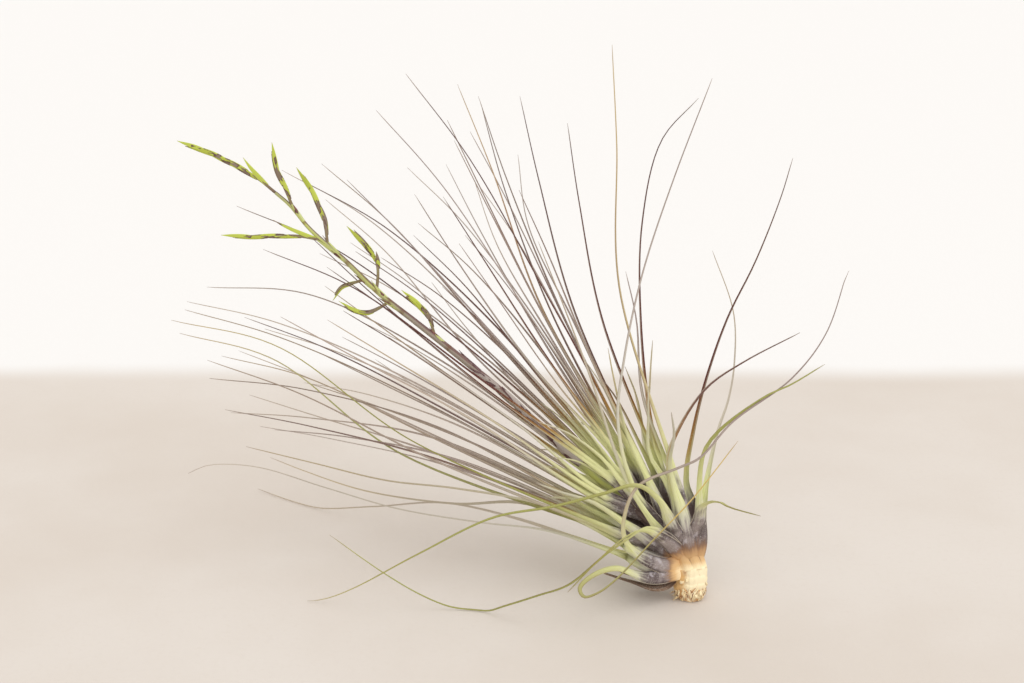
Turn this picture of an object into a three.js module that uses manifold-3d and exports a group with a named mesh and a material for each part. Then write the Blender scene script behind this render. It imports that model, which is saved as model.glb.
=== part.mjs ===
// A rush-leaved air plant with a branched flower spike, lying on its cut stem and its
// lowest leaves. Millimetres, +Z up. The origin is the middle of the small flat spot
// under the stem. +X is to the right of the plant's broad side, +Y points behind it.
//
// The leaves open like a fan that leans back. Places on the plant are written in the
// frame of that fan: x to the right, up along the fan, and depth behind it.

import * as THREE from 'three';
import { mergeVertices } from 'three/addons/utils/BufferGeometryUtils.js';
import Module from 'manifold-3d';

const wasm = await Module();
wasm.setup();

const degrees = THREE.MathUtils.degToRad;
const mix = THREE.MathUtils.lerp;

// ---------------------------------------------------------------- driving dimensions

const LEAN_BACK = degrees(17); // the fan of leaves leans back this far from upright
const GAP = 0.3; // clearance between pieces that touch
const GOLDEN_ANGLE = degrees(137.5); // from one bract round the scape to the next
const GOLDEN_PART = 0.618034; // the same as a part of a row, for leaves that fill it evenly

const STEM = {
  radius: 9.6, // of the woody stub, just under the leaves
  foot: 8.6, // radius at the cut end
  top: 17, // how far up the stub reaches along the fan
  ring: 0.28, // height of the rings where old leaves came off
  rings: 4,
  sides: 14,
  cutTilt: degrees(38), // slope of the cut end, which faces the front
  cutStart: -5.5, // where the cut end begins in front of the origin
};

// The stem's axis bends over to the left and runs on into the flower scape.
const AXIS = [[0, -9], [0, 6], [-1, 20], [-8, 33], [-20, 44], [-34, 55]];

// The rosette's body, where the sheaths meet: its radius below and above, where it ends
// along the axis, the part of the axis that leaves are taken to spread from, and the
// point that the outline's leaves are measured from.
const HEART = {
  foot: 9.3, top: 4.6, sides: 12, steps: 8, end: 0.97, middle: 0.65, clearance: 0.004,
  measuredFrom: [-20, 42, 5],
};

const LEAF = {
  sheathWidth: 10.5, // widest part of a lower leaf's sheath
  sheathLength: 34,
  innerSheath: 0.55, // size of the innermost sheaths against the lowest
  blade: 2.5, // width of the blade past the sheath
  tip: 0.8,
  taper: 0.8, // the power by which the blade narrows
  thick: 1.15,
  tipThick: 0.75,
  sunk: 1.4, // how deep a root's midrib sits in the rosette's body
  lowRoot: 0.06, // how far along the axis above the stem the lowest leaves root
  highRoot: 0.93, // where along the axis the innermost leaves root
  spread: [degrees(5), degrees(52)], // from the innermost leaves to the lowest
  step: 34, // length of a straight stretch of blade
  curledStep: 11, // the same on the most curled leaves
  curl: [1.02, 1.45], // length over reach, of a straight leaf and of the most curled
  fewestSteps: 6,
  midrib: 0.65, // the part of the thickness that stands out at the back
  launch: { middle: 0.62, axis: 0.3, outward: 0.22 }, // what a leaf's first stretch follows
  lift: 26, // length of a leaf's first stretch
  late: 0.8, // where along a leaf its bow is given again
  depthCurve: 1.2, // how a leaf's depth grows along it, as a power
  depthAtRoot: 2.6, // how much more a leaf's root turns to front or back than its tip
  faceBroad: 0.9, // how far a sheath turns its back to the front or rear of the fan
  lowSide: 2.4, // how much further down leaves sit on the side that the axis leans to
};

// How high a leaf's midline lies on the surface, and how gently it comes down on it.
const SURFACE = { rest: 0.6, softness: 0.8 };

// A sheath's spoon shape, in sheath lengths from the root, and the stations of its sections.
const SPOON = {
  opens: [-0.4, 0.22], closes: [0.3, 1.05], stations: [0, 0.25, 0.62, 1.05], thicker: 0.35, wrap: 1.3,
};

// The leaves that draw the plant's outline. Each row holds the lean of the leaf from
// the right-hand side in degrees, its reach from the rosette's heart, the depth of its
// tip behind the fan, and how far it bows up from a straight line, halfway along and
// near its tip.
const OUTLINE_LEAVES = [
  // the left side, from high to low
  [151, 232, -22, 1, 0], [153, 289, 60, 25, 24], [154, 258, 38, 4, 5], [156, 304, 105, 14, 12],
  [156, 288, 22, 8, 8], [157, 283, -30, -10, 9], [159, 290, 46, -17, 6], [159, 261, 90, -2, 1],
  [160, 265, 62, 0, 6], [160, 260, -12, -9, 0], [166, 249, 30, 3, 3], [167, 252, 74, 15, 9],
  // behind the flower spike
  [130, 208, 22, 3, 4], [132, 175, 18, 2, 3], [133, 279, 64, 4, 6], [136, 276, 36, 17, 14],
  [136, 271, 128, -4, 3], [137, 299, 100, 15, 14], [138, 225, 30, 7, 6], [142, 227, -14, 1, 2],
  [143, 291, 14, 15, 14], [145, 260, -18, 10, 11], [145, 177, -16, 1, 1], [146, 208, 12, 2, 2],
  // the tall middle
  [125, 186, -16, 0, 0], [124, 273, -6, 7, 7], [123, 211, -26, 0, 0], [119, 280, -14, 9, 8],
  [117, 253, 30, -2, -1], [117, 223, 110, -3, -6], [114, 267, 16, -8, -2], [112, 260, 44, -3, -3],
  [112, 255, 60, -8, -6], [109, 228, 120, -3, -9], [107, 251, 36, -7, -4], [102, 226, 8, -4, -3],
  // upright
  [95.5, 258, -38, -7, -2], [96, 139, 8, 2, 3], [110, 86, 12, 8, 5],
];

// Leaves that fill the fan and its far side, spread evenly by the golden ratio.
const FILL = {
  count: 28,
  lean: [112, 170],
  depth: [-34, 175],
  reach: [175, 262],
  bow: [-5, 14],
  lateBow: 0.8,
  seed: 41,
};

// Curled leaves, as the points they pass through: x, up, depth.
const CURLED_LEAVES = [
  // four low ones to the left, the last with its tip on the surface
  [[-4, 22, -4], [-13, 20, -8], [-25, 24, -8], [-48, 36, -2], [-78, 50, 6], [-129, 59, 16],
    [-169, 63, 23], [-210, 72, 30], [-250, 81, 38]],
  [[-4, 22, 2], [-14, 21, 4], [-37, 30, 8], [-60, 41, 16], [-93, 50, 27], [-130, 48, 41],
    [-182, 53, 63], [-223, 64, 82], [-244, 71, 92]],
  [[-3, 20, -4], [-14, 16, -9], [-32, 22, -4], [-46, 27, 2], [-80, 36, 14], [-116, 39, 25],
    [-163, 45, 40], [-206, 56, 54], [-249, 67, 69], [-280, 67, 80], [-292, 62, 84]],
  [[-3, 20, 3], [-13, 17, 6], [-33, 22, 11], [-64, 31, 26], [-93, 39, 41], [-137, 46, 69],
    [-182, 41, 97], [-228, 38, 127], [-260, 47, 149]],
  // two tall ones in the middle that end over to the right
  [[-14, 36, -7], [-33, 64, -17], [-41, 98, -23], [-38, 132, -29], [-29, 176, -35],
    [-13, 226, -41], [7, 279, -45]],
  [[-9, 36, 5], [-15, 71, 9], [-21, 98, 11], [-26, 150, 14], [-25, 208, 17], [-14, 254, 19],
    [7, 278, 20]],
  // four on the right, the first one tall
  [[1, 22, 3], [4, 44, 6], [-1, 64, 8], [3, 90, 12], [10, 118, 14], [23, 154, 18], [39, 186, 21],
    [54, 223, 24], [61, 245, 26]],
  [[3, 20, -3], [8, 31, -8], [7, 45, -11], [4, 58, -12], [6, 81, -16], [14, 93, -18], [39, 112, -22],
    [52, 118, -23], [70, 129, -24]],
  [[2, 21, 5], [5, 36, 9], [9, 53, 14], [15, 71, 33], [22, 90, 52], [30, 107, 69], [36, 128, 88],
    [39, 159, 115], [30, 199, 150]],
  [[-1, 26, -4], [-8, 48, -9], [-13, 77, -10], [-7, 94, -10], [8, 116, -10], [28, 130, -10],
    [59, 146, -10]],
  // loops to the left, then sweeps over to the right
  [[-3, 20, -4], [-13, 19, -11], [-29, 26, -20], [-37, 35, -26], [-38, 47, -30], [-31, 64, -33],
    [-9, 74, -32], [2, 79, -30], [20, 98, -26], [53, 121, -18], [73, 145, -9], [87, 180, 2]],
  // falls to the left until its tip lies on the surface
  [[-4, 26, -5], [-12, 42, -20], [-20, 57, -31], [-32, 65, -38], [-51, 61, -44], [-77, 55, -50],
    [-108, 49, -48], [-147, 29, -36], [-181, 9, -17], [-196, 2, -9], [-210, -2, -4]],
  // falls forward, lies on the surface and lifts its tip
  [[-4, 21, -4], [-16, 36, -20], [-27, 42, -34], [-38, 37, -44], [-49, 30, -48], [-68, 14, -46],
    [-84, 7, -38], [-101, 0, -27], [-114, -5, -16], [-130, -3, -14], [-147, 4, -16],
    [-167, 16, -18], [-196, 37, -20]],
  // makes a tight loop on the left and crosses to the right in front of the sheaths
  [[-2, 19, -3], [-12, 15, -10], [-25, 14, -17], [-42, 20, -26], [-55, 17, -33], [-62, 11, -37],
    [-60, 7, -41], [-54, 9, -45], [-45, 16, -50], [-22, 43, -64], [-7, 60, -70], [16, 91, -79]],
  // short, hooked down to the left
  [[-4, 22, -4], [-16, 34, -20], [-29, 41, -36], [-41, 37, -46], [-51, 29, -50], [-69, 11, -53]],
  // short, out to the right and towards the front
  [[-3, 27, -3], [3, 42, -16], [4, 53, -28], [10, 57, -42], [15, 55, -52], [29, 52, -68]],
  // old dry sheaths that hang under the others
  [[-4, 19, -4], [-10, 12, -9], [-19, 8, -13], [-35, 12, -17], [-50, 17, -19]],
  [[-3, 19, 4], [-11, 13, 8], [-21, 10, 11], [-38, 13, 13]],
];

// The flower scape's centre line, from inside the rosette's heart to its end.
const SCAPE_LINE = [
  [-20, 44, 0], [-49, 65, 0], [-79, 91, -1], [-104, 114, -2], [-127, 133, -2], [-151, 152, -2],
  [-170, 167, -2], [-190, 186, -2], [-209, 203, -1], [-220, 216, 0], [-228, 223, 0],
];
const SCAPE = {
  foot: 2.7, // radius in the rosette
  end: 1.1, // radius at its end
  sides: 7,
  steps: 26,
  marks: 60, // points by which other pieces find it
  bracts: 7, // that lap over its lower half
  firstBract: 26, // distance of the lowest from the foot
  bractEvery: 14,
  lastBract: 0.6, // size of the highest against the lowest
  bractLength: 30,
  bractWidth: 5.4,
  bractDepth: 2.6,
  bractStand: 3.2, // how far a bract's tip stands off
  room: 6.5, // depth that leaves keep from the centre line
  roomWidth: 11,
  socket: 0.25, // the part of it that the rosette leaves room for
};

// A bract's outline: the part of a half wave that its width follows, the part of its depth
// that lies towards the keel, its least size, and the stations of its sections.
const BRACT = { wave: [0.22, 0.97], keel: 0.55, least: 0.7, stations: [0, 0.35, 0.7, 1] };

const TERMINAL_LINE = [[-228, 223, 0], [-238, 231, 0], [-252, 239, 0], [-268, 247, 0], [-283, 251, 0]];
const TERMINAL = { bracts: 7, open: 5 }; // `open` is how far its lowest bract stands off

// Side spikes: where each leaves the scape and the points its stalk passes through.
const SIDE_SPIKES = [
  { line: [[-218, 214, 0], [-222, 224, -2], [-227, 236, -3], [-230, 249, -4]], bracts: 3 },
  { line: [[-198, 198, 0], [-202, 210, 2], [-209, 225, 4], [-216, 237, 5]], bracts: 4 },
  { line: [[-204, 197, 0], [-216, 199, -3], [-236, 198, -5], [-259, 197, -6]], bracts: 5 },
  { line: [[-171, 170, 0], [-172, 182, -3], [-177, 194, -5], [-186, 204, -6]], bracts: 4 },
  { line: [[-184, 176, 0], [-190, 174, 3], [-197, 165, 5]], bracts: 2 },
  { line: [[-167, 162, 0], [-176, 157, -3], [-184, 158, -5], [-192, 162, -6]], bracts: 3 },
  { line: [[-141, 143, 0], [-144, 155, -4], [-150, 162, -6], [-158, 168, -7]], bracts: 3 },
];

const SPIKE = {
  stalk: 0.85, // radius of a side spike's stalk
  stalkEnd: 0.6,
  stalkSides: 5,
  stalkSteps: 6,
  stalkPart: 0.9, // of the spike's length, under the bracts
  bareStalk: 6, // from the foot to the lowest bract
  bractLength: 18,
  bractWidth: 1.9, // across the fold
  bractDepth: 3.1, // from the margins to the keel, which the plant's broad side shows
  bractParts: [0, 0.35, 0.75, 1],
  lastBract: 0.85, // size of the end bract against the lowest
  overEnd: 0.8, // the part of a bract that is left from the end bract's foot to the spike's end
  hug: 0.3, // distance of a bract's foot from the stalk's centre line
  stand: 0.9, // how far a bract's tip stands off its stalk
  axilLength: 6.5,
  axilWidth: 2.2,
  axilDepth: 1.5,
  axilStand: 0.8,
  axilBelow: 8, // distance of the small bract below the side spike's foot
};

// ---------------------------------------------------------------- placing and chance

const RIGHT = new THREE.Vector3(1, 0, 0);
const UP = new THREE.Vector3(0, Math.sin(LEAN_BACK), Math.cos(LEAN_BACK));
const BACK = new THREE.Vector3(0, Math.cos(LEAN_BACK), -Math.sin(LEAN_BACK));

function place([x, up, depth = 0]) {
  return new THREE.Vector3()
    .addScaledVector(RIGHT, x)
    .addScaledVector(UP, up)
    .addScaledVector(BACK, depth);
}

// A repeatable random number from 0 to 1 for each pair of whole numbers.
function chance(index, channel) {
  let h = (Math.imul(index + 1, 374761393) + Math.imul(channel + 1, 668265263)) >>> 0;
  h = Math.imul(h ^ (h >>> 13), 1274126177) >>> 0;
  h = Math.imul(h ^ (h >>> 16), 2246822519) >>> 0;
  return ((h ^ (h >>> 15)) >>> 0) / 4294967296;
}

function smooth(edge0, edge1, x) {
  return THREE.MathUtils.smoothstep(x, edge0, edge1);
}

// ---------------------------------------------------------------- closed solids

function solidOf(geometry) {
  const bare = geometry.index ? geometry.toNonIndexed() : geometry.clone();
  bare.deleteAttribute('normal');
  bare.deleteAttribute('uv');
  const merged = mergeVertices(bare, 1e-4);
  return new wasm.Manifold(new wasm.Mesh({
    numProp: 3,
    vertProperties: new Float32Array(merged.attributes.position.array),
    triVerts: new Uint32Array(merged.index.array),
  }));
}

function geometryOf(solid) {
  const mesh = solid.getMesh();
  const geometry = new THREE.BufferGeometry();
  geometry.setAttribute('position', new THREE.BufferAttribute(mesh.vertProperties, 3));
  geometry.setIndex(new THREE.BufferAttribute(mesh.triVerts, 1));
  geometry.computeVertexNormals();
  return geometry;
}

function join(solids) {
  return solids.reduce((whole, solid) => whole.add(solid));
}

// A closed sweep: rings[i] holds the corners of the section at station i, in order.
function sweep(rings) {
  const corners = rings[0].length;
  const last = rings.length - 1;
  const positions = rings.flat().flatMap((p) => [p.x, p.y, p.z]);
  const index = [];
  for (let i = 0; i < last; i++) {
    for (let j = 0; j < corners; j++) {
      const a = i * corners + j;
      const b = i * corners + ((j + 1) % corners);
      index.push(a, b, b + corners, a, b + corners, a + corners);
    }
  }
  for (let j = 1; j < corners - 1; j++) {
    index.push(0, j + 1, j);
    index.push(last * corners, last * corners + j, last * corners + j + 1);
  }
  const geometry = new THREE.BufferGeometry();
  geometry.setAttribute('position', new THREE.Float32BufferAttribute(positions, 3));
  geometry.setIndex(index);
  return geometry;
}

// Frames along a row of points: each has the tangent, a normal that starts at
// `outward` and turns no more than the line does, and the sideways direction.
function framesAlong(points, outward) {
  const normal = outward.clone();
  return points.map((p, i) => {
    const from = points[Math.max(i - 1, 0)];
    const to = points[Math.min(i + 1, points.length - 1)];
    const tangent = to.clone().sub(from).normalize();
    normal.addScaledVector(tangent, -normal.dot(tangent)).normalize();
    const side = tangent.clone().cross(normal);
    return { at: p, tangent, normal: normal.clone(), side };
  });
}

// A round rod along points, its radius given by a function of 0 to 1 along it.
function rod(points, radiusAt, sides, outward = new THREE.Vector3(0, -1, 0)) {
  const frames = framesAlong(points, outward);
  return solidOf(sweep(frames.map(({ at, normal, side }, i) => {
    const radius = radiusAt(i / (frames.length - 1));
    return Array.from({ length: sides }, (_, j) => {
      const turn = (2 * Math.PI * j) / sides;
      return at.clone()
        .addScaledVector(side, radius * Math.cos(turn))
        .addScaledVector(normal, -radius * Math.sin(turn));
    });
  })));
}

function curveThrough(points) {
  return new THREE.CatmullRomCurve3(points, false, 'centripetal');
}

// ---------------------------------------------------------------- stem

const axisCurve = curveThrough(AXIS.map(place));

function axisPoint(part) {
  return axisCurve.getPointAt(part);
}

// The part of the axis at which it has risen this far up the fan.
function partAtHeight(up) {
  let part = 0;
  while (axisPoint(part).dot(UP) < up) part += 0.005;
  return part;
}

const STEM_TOP = partAtHeight(STEM.top);

function stub(grow) {
  const steps = 4 * STEM.rings;
  const end = STEM_TOP + grow / axisCurve.getLength();
  const points = Array.from({ length: steps + 1 }, (_, i) => axisPoint((end * i) / steps));
  const radius = (t) => mix(STEM.foot, STEM.radius, smooth(0, 0.8, t)) + grow
    + STEM.ring * Math.cos(2 * Math.PI * STEM.rings * t);
  return rod(points, radius, STEM.sides);
}

function makeStem() {
  const big = 60;
  const ground = new THREE.BoxGeometry(big, big, big).translate(0, 0, -big / 2);
  const cut = new THREE.BoxGeometry(big, big, big)
    .translate(0, -big / 2, -big / 2)
    .rotateX(-STEM.cutTilt)
    .translate(0, STEM.cutStart, 0);
  return stub(0).subtract(solidOf(ground)).subtract(solidOf(cut));
}

// ---------------------------------------------------------------- leaves

const heart = place(HEART.measuredFrom);
const scapeCurve = curveThrough(SCAPE_LINE.map(place));
const scapePoints = scapeCurve.getSpacedPoints(SCAPE.marks);

// A leaf that runs from its root through `points` to its tip: the curve of its midrib,
// which way its sheath faces, and how far it spreads from the rosette's middle.
function leafCurve(points) {
  const [middle] = points;
  const heartward = axisCurve.getTangentAt(HEART.middle);
  const aim = middle.clone().sub(axisPoint(HEART.middle));
  const under = aim.clone().normalize().cross(heartward).dot(BACK);
  const spread = aim.angleTo(heartward) * (1 + LEAF.lowSide * Math.max(0, under));
  const rooted = aim.clone().addScaledVector(BACK, (LEAF.depthAtRoot - 1) * aim.dot(BACK));
  const level = mix(LEAF.highRoot, STEM_TOP + LEAF.lowRoot, smooth(...LEAF.spread, spread));
  const along = axisCurve.getTangentAt(level);
  const outward = rooted.addScaledVector(along, -rooted.dot(along)).normalize();
  const radius = mix(HEART.foot, HEART.top, smooth(STEM_TOP, HEART.end, level)) - LEAF.sunk;
  const root = axisPoint(level).addScaledVector(outward, radius);
  const launch = middle.clone().sub(root).setLength(LEAF.launch.middle)
    .addScaledVector(along, LEAF.launch.axis).addScaledVector(outward, LEAF.launch.outward)
    .setLength(LEAF.lift);
  const line = [root, root.clone().add(launch), ...points];
  const curve = curveThrough(line);
  return { curve, face: turnBroad(outward), spread };
}

// The way a sheath faces: away from the stem, and turned to the fan's front or rear.
function turnBroad(outward) {
  const rear = Math.sign(outward.dot(BACK)) || -1;
  return outward.clone().addScaledVector(BACK, LEAF.faceBroad * rear).normalize();
}

// An outline or fill leaf, from its row.
function fanLeaf([lean, reach, depth, bow, lateBow]) {
  const turn = degrees(lean);
  const chord = RIGHT.clone().multiplyScalar(Math.cos(turn)).addScaledVector(UP, Math.sin(turn));
  const bowed = RIGHT.clone().multiplyScalar(Math.sin(turn)).addScaledVector(UP, -Math.cos(turn));
  const pointAt = (part, rise) => heart.clone().addScaledVector(chord, part * reach)
    .addScaledVector(bowed, rise).addScaledVector(BACK, depth * Math.pow(part, LEAF.depthCurve));
  return leafCurve([pointAt(0.5, bow), pointAt(LEAF.late, lateBow), pointAt(1, 0)]);
}

function fillRows() {
  return Array.from({ length: FILL.count }, (_, i) => {
    const spot = (i * GOLDEN_PART + 0.5 * chance(i, FILL.seed) / FILL.count) % 1;
    const bow = mix(...FILL.bow, chance(i, FILL.seed + 2));
    return [
      mix(...FILL.lean, spot),
      mix(...FILL.reach, chance(i, FILL.seed + 1)),
      mix(...FILL.depth, (i + 0.5) / FILL.count),
      bow,
      FILL.lateBow * bow,
    ];
  });
}

function curledLeaf(points) {
  const curve = curveThrough(points.map(place));
  const root = curve.getPoint(0);
  const outward = place(points[1]).sub(root);
  const spread = outward.angleTo(axisCurve.getTangentAt(HEART.middle));
  const along = axisCurve.getTangentAt(STEM_TOP);
  outward.addScaledVector(along, -outward.dot(along)).normalize();
  return { curve, face: turnBroad(outward), spread };
}

// Width and thickness of a leaf, at a distance from its root, out of its length.
function leafSection(distance, length, size) {
  const sheath = LEAF.sheathLength * size;
  const s = distance / sheath;
  const spoon = smooth(...SPOON.opens, s) * (1 - smooth(...SPOON.closes, s));
  const taper = THREE.MathUtils.clamp((distance - sheath) / (length - sheath), 0, 1);
  const blade = mix(LEAF.blade, LEAF.tip, Math.pow(taper, LEAF.taper));
  return {
    width: blade + (LEAF.sheathWidth * size - LEAF.blade) * spoon,
    thick: mix(LEAF.thick, LEAF.tipThick, taper) * (1 + SPOON.thicker * spoon),
    wrap: SPOON.wrap * spoon * size,
  };
}

function makeLeaf({ curve, face, spread }) {
  const size = mix(LEAF.innerSheath, 1, smooth(...LEAF.spread, spread));
  const length = curve.getLength();
  const sheath = LEAF.sheathLength * size;
  const curl = length / curve.getPointAt(0).distanceTo(curve.getPointAt(1));
  const step = mix(LEAF.step, LEAF.curledStep, smooth(...LEAF.curl, curl));
  const bladeSteps = Math.max(LEAF.fewestSteps, Math.round(length / step));
  const distances = SPOON.stations.map((s) => s * sheath);
  const bladeFrom = distances.at(-1);
  for (let i = 1; i <= bladeSteps; i++) {
    distances.push(mix(bladeFrom, length, i / bladeSteps));
  }
  const side = Math.sign(curve.getPointAt(0.5).dot(BACK)) || 1;
  const points = distances.map((d) => {
    const point = curve.getPointAt(Math.min(1, d / length));
    return liftOffSurface(d > sheath ? clearOfScape(point, side) : point);
  });
  const rings = framesAlong(points, face).map(({ at, normal, side }, i) => {
    const { width, thick, wrap } = leafSection(distances[i], length, size);
    const edge = (LEAF.midrib - 1) * thick - wrap;
    return [
      at.clone().addScaledVector(side, width / 2).addScaledVector(normal, edge),
      at.clone().addScaledVector(side, -width / 2).addScaledVector(normal, edge),
      at.clone().addScaledVector(normal, LEAF.midrib * thick),
    ];
  });
  return solidOf(sweep(rings));
}

// A leaf that reaches the surface lies on it.
function liftOffSurface(point) {
  const { rest, softness } = SURFACE;
  point.z = rest + softness * Math.log1p(Math.exp((point.z - rest) / softness));
  return point;
}

// A leaf that would cross the scape bends past it, in front or behind.
function clearOfScape(point, side) {
  const flat = (p) => [p.x, p.dot(UP)];
  const [x, up] = flat(point);
  let near = Infinity;
  let scapeDepth = 0;
  for (const q of scapePoints) {
    const [qx, qUp] = flat(q);
    const apart = Math.hypot(x - qx, up - qUp);
    if (apart < near) {
      near = apart;
      scapeDepth = q.dot(BACK);
    }
  }
  const away = point.dot(BACK) - scapeDepth;
  const need = SCAPE.room * Math.exp(-((near / SCAPE.roomWidth) ** 2));
  return point.addScaledVector(BACK, side * Math.hypot(away, need) - away);
}

function makeHeart() {
  const from = STEM_TOP + HEART.clearance;
  const points = Array.from({ length: HEART.steps + 1 }, (_, i) =>
    axisPoint(mix(from, HEART.end, i / HEART.steps)));
  return rod(points, (t) => mix(HEART.foot, HEART.top, t), HEART.sides);
}

// The body of a solid, without loose scraps and sealed hollows.
function wholeBody(solid) {
  return solid.decompose().reduce((big, part) => (part.volume() > big.volume() ? part : big));
}

function makeRosette() {
  const leaves = [
    ...OUTLINE_LEAVES.map(fanLeaf),
    ...fillRows().map(fanLeaf),
    ...CURLED_LEAVES.map(curledLeaf),
  ].map(makeLeaf);
  return join([makeHeart(), ...leaves]);
}

// ---------------------------------------------------------------- flower spike

// A lance-shaped bract, folded along its keel, which faces `keel`.
function bractAlong(points, keel, width, depth) {
  const shape = points.map((_, i) => Math.sin(Math.PI * mix(...BRACT.wave, i / (points.length - 1))));
  return solidOf(sweep(framesAlong(points, keel).map(({ at, normal, side }, i) => {
    const w = Math.max(width * shape[i], BRACT.least);
    const h = Math.max(depth * shape[i], BRACT.least);
    const margin = (BRACT.keel - 1) * h;
    return [
      at.clone().addScaledVector(side, w / 2).addScaledVector(normal, margin),
      at.clone().addScaledVector(side, -w / 2).addScaledVector(normal, margin),
      at.clone().addScaledVector(normal, BRACT.keel * h),
    ];
  })));
}

function scapeRadius(t) {
  return mix(SCAPE.foot, SCAPE.end, t);
}

// Which of the scape's marks is nearest to a side spike's foot.
function markAt(foot) {
  return scapePoints.reduce((best, p, i) =>
    (p.distanceTo(foot) < scapePoints[best].distanceTo(foot) ? i : best), 0);
}

// A side spike's line, with its foot on the scape's centre line.
function seatedLine(line) {
  const [foot, ...rest] = line.map(place);
  return [scapePoints[markAt(foot)], ...rest];
}

// The small bract on the scape under a side spike.
function axilBract(line, length) {
  const foot = place(line[0]);
  const outward = place(line[1]).sub(foot).normalize();
  const t = markAt(foot) / SCAPE.marks - SPIKE.axilBelow / length;
  const tangent = scapeCurve.getTangentAt(t);
  const keel = outward.clone().addScaledVector(tangent, -outward.dot(tangent)).normalize();
  const root = scapeCurve.getPointAt(t).addScaledVector(keel, 0.6 * scapeRadius(t));
  const { axilLength, axilWidth, axilDepth, axilStand } = SPIKE;
  const centre = BRACT.stations.map((s) => root.clone()
    .addScaledVector(outward, s * axilLength).addScaledVector(keel, s * axilStand));
  return bractAlong(centre, keel, axilWidth, axilDepth);
}

// The scape's stalk, or the same grown on all sides.
function scapeStalk(grow) {
  const from = grow === 0 ? GAP / scapeCurve.getLength() : 0;
  const points = Array.from({ length: SCAPE.steps + 1 }, (_, i) =>
    scapeCurve.getPointAt(mix(from, 1, i / SCAPE.steps)));
  return rod(points, (t) => scapeRadius(t) + grow, SCAPE.sides);
}

function makeScape() {
  const solids = [scapeStalk(0)];
  const length = scapeCurve.getLength();
  for (let i = 0; i < SCAPE.bracts; i++) {
    const t = (SCAPE.firstBract + i * SCAPE.bractEvery) / length;
    const turn = i * GOLDEN_ANGLE;
    const tangent = scapeCurve.getTangentAt(t);
    const front = BACK.clone().negate().applyAxisAngle(tangent, turn);
    const keel = front.addScaledVector(tangent, -front.dot(tangent)).normalize();
    const size = mix(1, SCAPE.lastBract, i / SCAPE.bracts);
    const reach = SCAPE.bractLength * size;
    const centre = BRACT.stations.map((s) => scapeCurve.getPointAt(t + (s * reach) / length)
      .addScaledVector(keel, 0.5 * scapeRadius(t) + SCAPE.bractStand * s * s));
    solids.push(bractAlong(centre, keel, SCAPE.bractWidth * size, SCAPE.bractDepth * size));
  }
  SIDE_SPIKES.forEach(({ line }) => solids.push(axilBract(line, length)));
  return join(solids);
}

// A spike of floral bracts in two ranks, which hug the stalk's curve and lap over each
// other. The lowest one may stand open.
function makeSpike(line, count, open = 0) {
  const curve = curveThrough(line);
  const length = curve.getLength();
  const end = curve.getPointAt(1);
  const endward = curve.getTangentAt(1);
  const onward = (distance) => (distance < length
    ? curve.getPointAt(Math.max(distance, 0) / length)
    : end.clone().addScaledVector(endward, distance - length));
  const points = Array.from({ length: SPIKE.stalkSteps + 1 }, (_, i) =>
    onward(mix(GAP, SPIKE.stalkPart * length, i / SPIKE.stalkSteps)));
  const solids = [rod(points, (t) => mix(SPIKE.stalk, SPIKE.stalkEnd, t), SPIKE.stalkSides)];
  const last = length - SPIKE.overEnd * SPIKE.bractLength;
  for (let i = 0; i < count; i++) {
    const size = mix(1, SPIKE.lastBract, i / count);
    const from = mix(SPIKE.bareStalk, last, i / Math.max(count - 1, 1));
    const reach = Math.min(SPIKE.bractLength * size, length + 1 - from);
    const rank = i % 2 ? 1 : -1;
    const stand = SPIKE.stand + (i === 0 ? open : 0);
    const centre = SPIKE.bractParts.map((t) => {
      const across = curve.getTangentAt(Math.min((from + t * reach) / length, 1)).cross(BACK);
      return onward(from + t * reach)
        .addScaledVector(across.normalize(), rank * (SPIKE.hug + stand * t * t));
    });
    const keel = curve.getTangentAt(Math.min(from / length, 1)).cross(BACK).multiplyScalar(rank);
    solids.push(bractAlong(centre, keel.normalize(), SPIKE.bractWidth * size, SPIKE.bractDepth * size));
  }
  return join(solids);
}

// ---------------------------------------------------------------- the plant

const FINISH = {
  stem: { color: 0xd9b07c, roughness: 0.85, metalness: 0 },
  leaf: { color: 0x8b8f74, roughness: 0.75, metalness: 0 },
  scape: { color: 0x8a7b62, roughness: 0.7, metalness: 0 },
  bract: { color: 0xa9b83c, roughness: 0.55, metalness: 0 },
};

const plant = new THREE.Group();

function addPiece(name, solid, finish) {
  const mesh = new THREE.Mesh(geometryOf(solid), new THREE.MeshStandardMaterial(finish));
  mesh.name = name;
  plant.add(mesh);
}

// The room that the rosette leaves for the scape's foot.
function makeSocket() {
  const steps = 8;
  const points = Array.from({ length: steps + 1 }, (_, i) =>
    scapeCurve.getPointAt((SCAPE.socket * i) / steps));
  return rod(points, (t) => scapeRadius(SCAPE.socket * t) + GAP, 2 * SCAPE.sides);
}

addPiece('stem', makeStem(), FINISH.stem);
addPiece('leaf_rosette', wholeBody(makeRosette().subtract(stub(GAP)).subtract(makeSocket())), FINISH.leaf);
addPiece('flower_scape', makeScape(), FINISH.scape);
addPiece('terminal_spike', makeSpike(TERMINAL_LINE.map(place), TERMINAL.bracts, TERMINAL.open), FINISH.bract);
SIDE_SPIKES.forEach(({ line, bracts }, i) => {
  const spike = makeSpike(seatedLine(line), bracts).subtract(scapeStalk(GAP));
  addPiece(`side_spike_${i + 1}`, spike, FINISH.bract);
});

export default plant;
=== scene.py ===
"""A rush-leaved air plant with a branched flower spike, dressed for the picture.

The plant lies on its cut stem and its lowest leaves, on a pale floor. The leaves open
like a fan that leans back, so places on the plant are written in the frame of that fan:
x to the right, up along the fan, and depth behind it, in millimetres. They are turned
into metres, +Z up, where a mesh is made. The origin is the flat spot under the stem.
"""

import logging
import math
from dataclasses import dataclass
from enum import Enum, IntEnum
from typing import Callable, Iterator, Sequence

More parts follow.
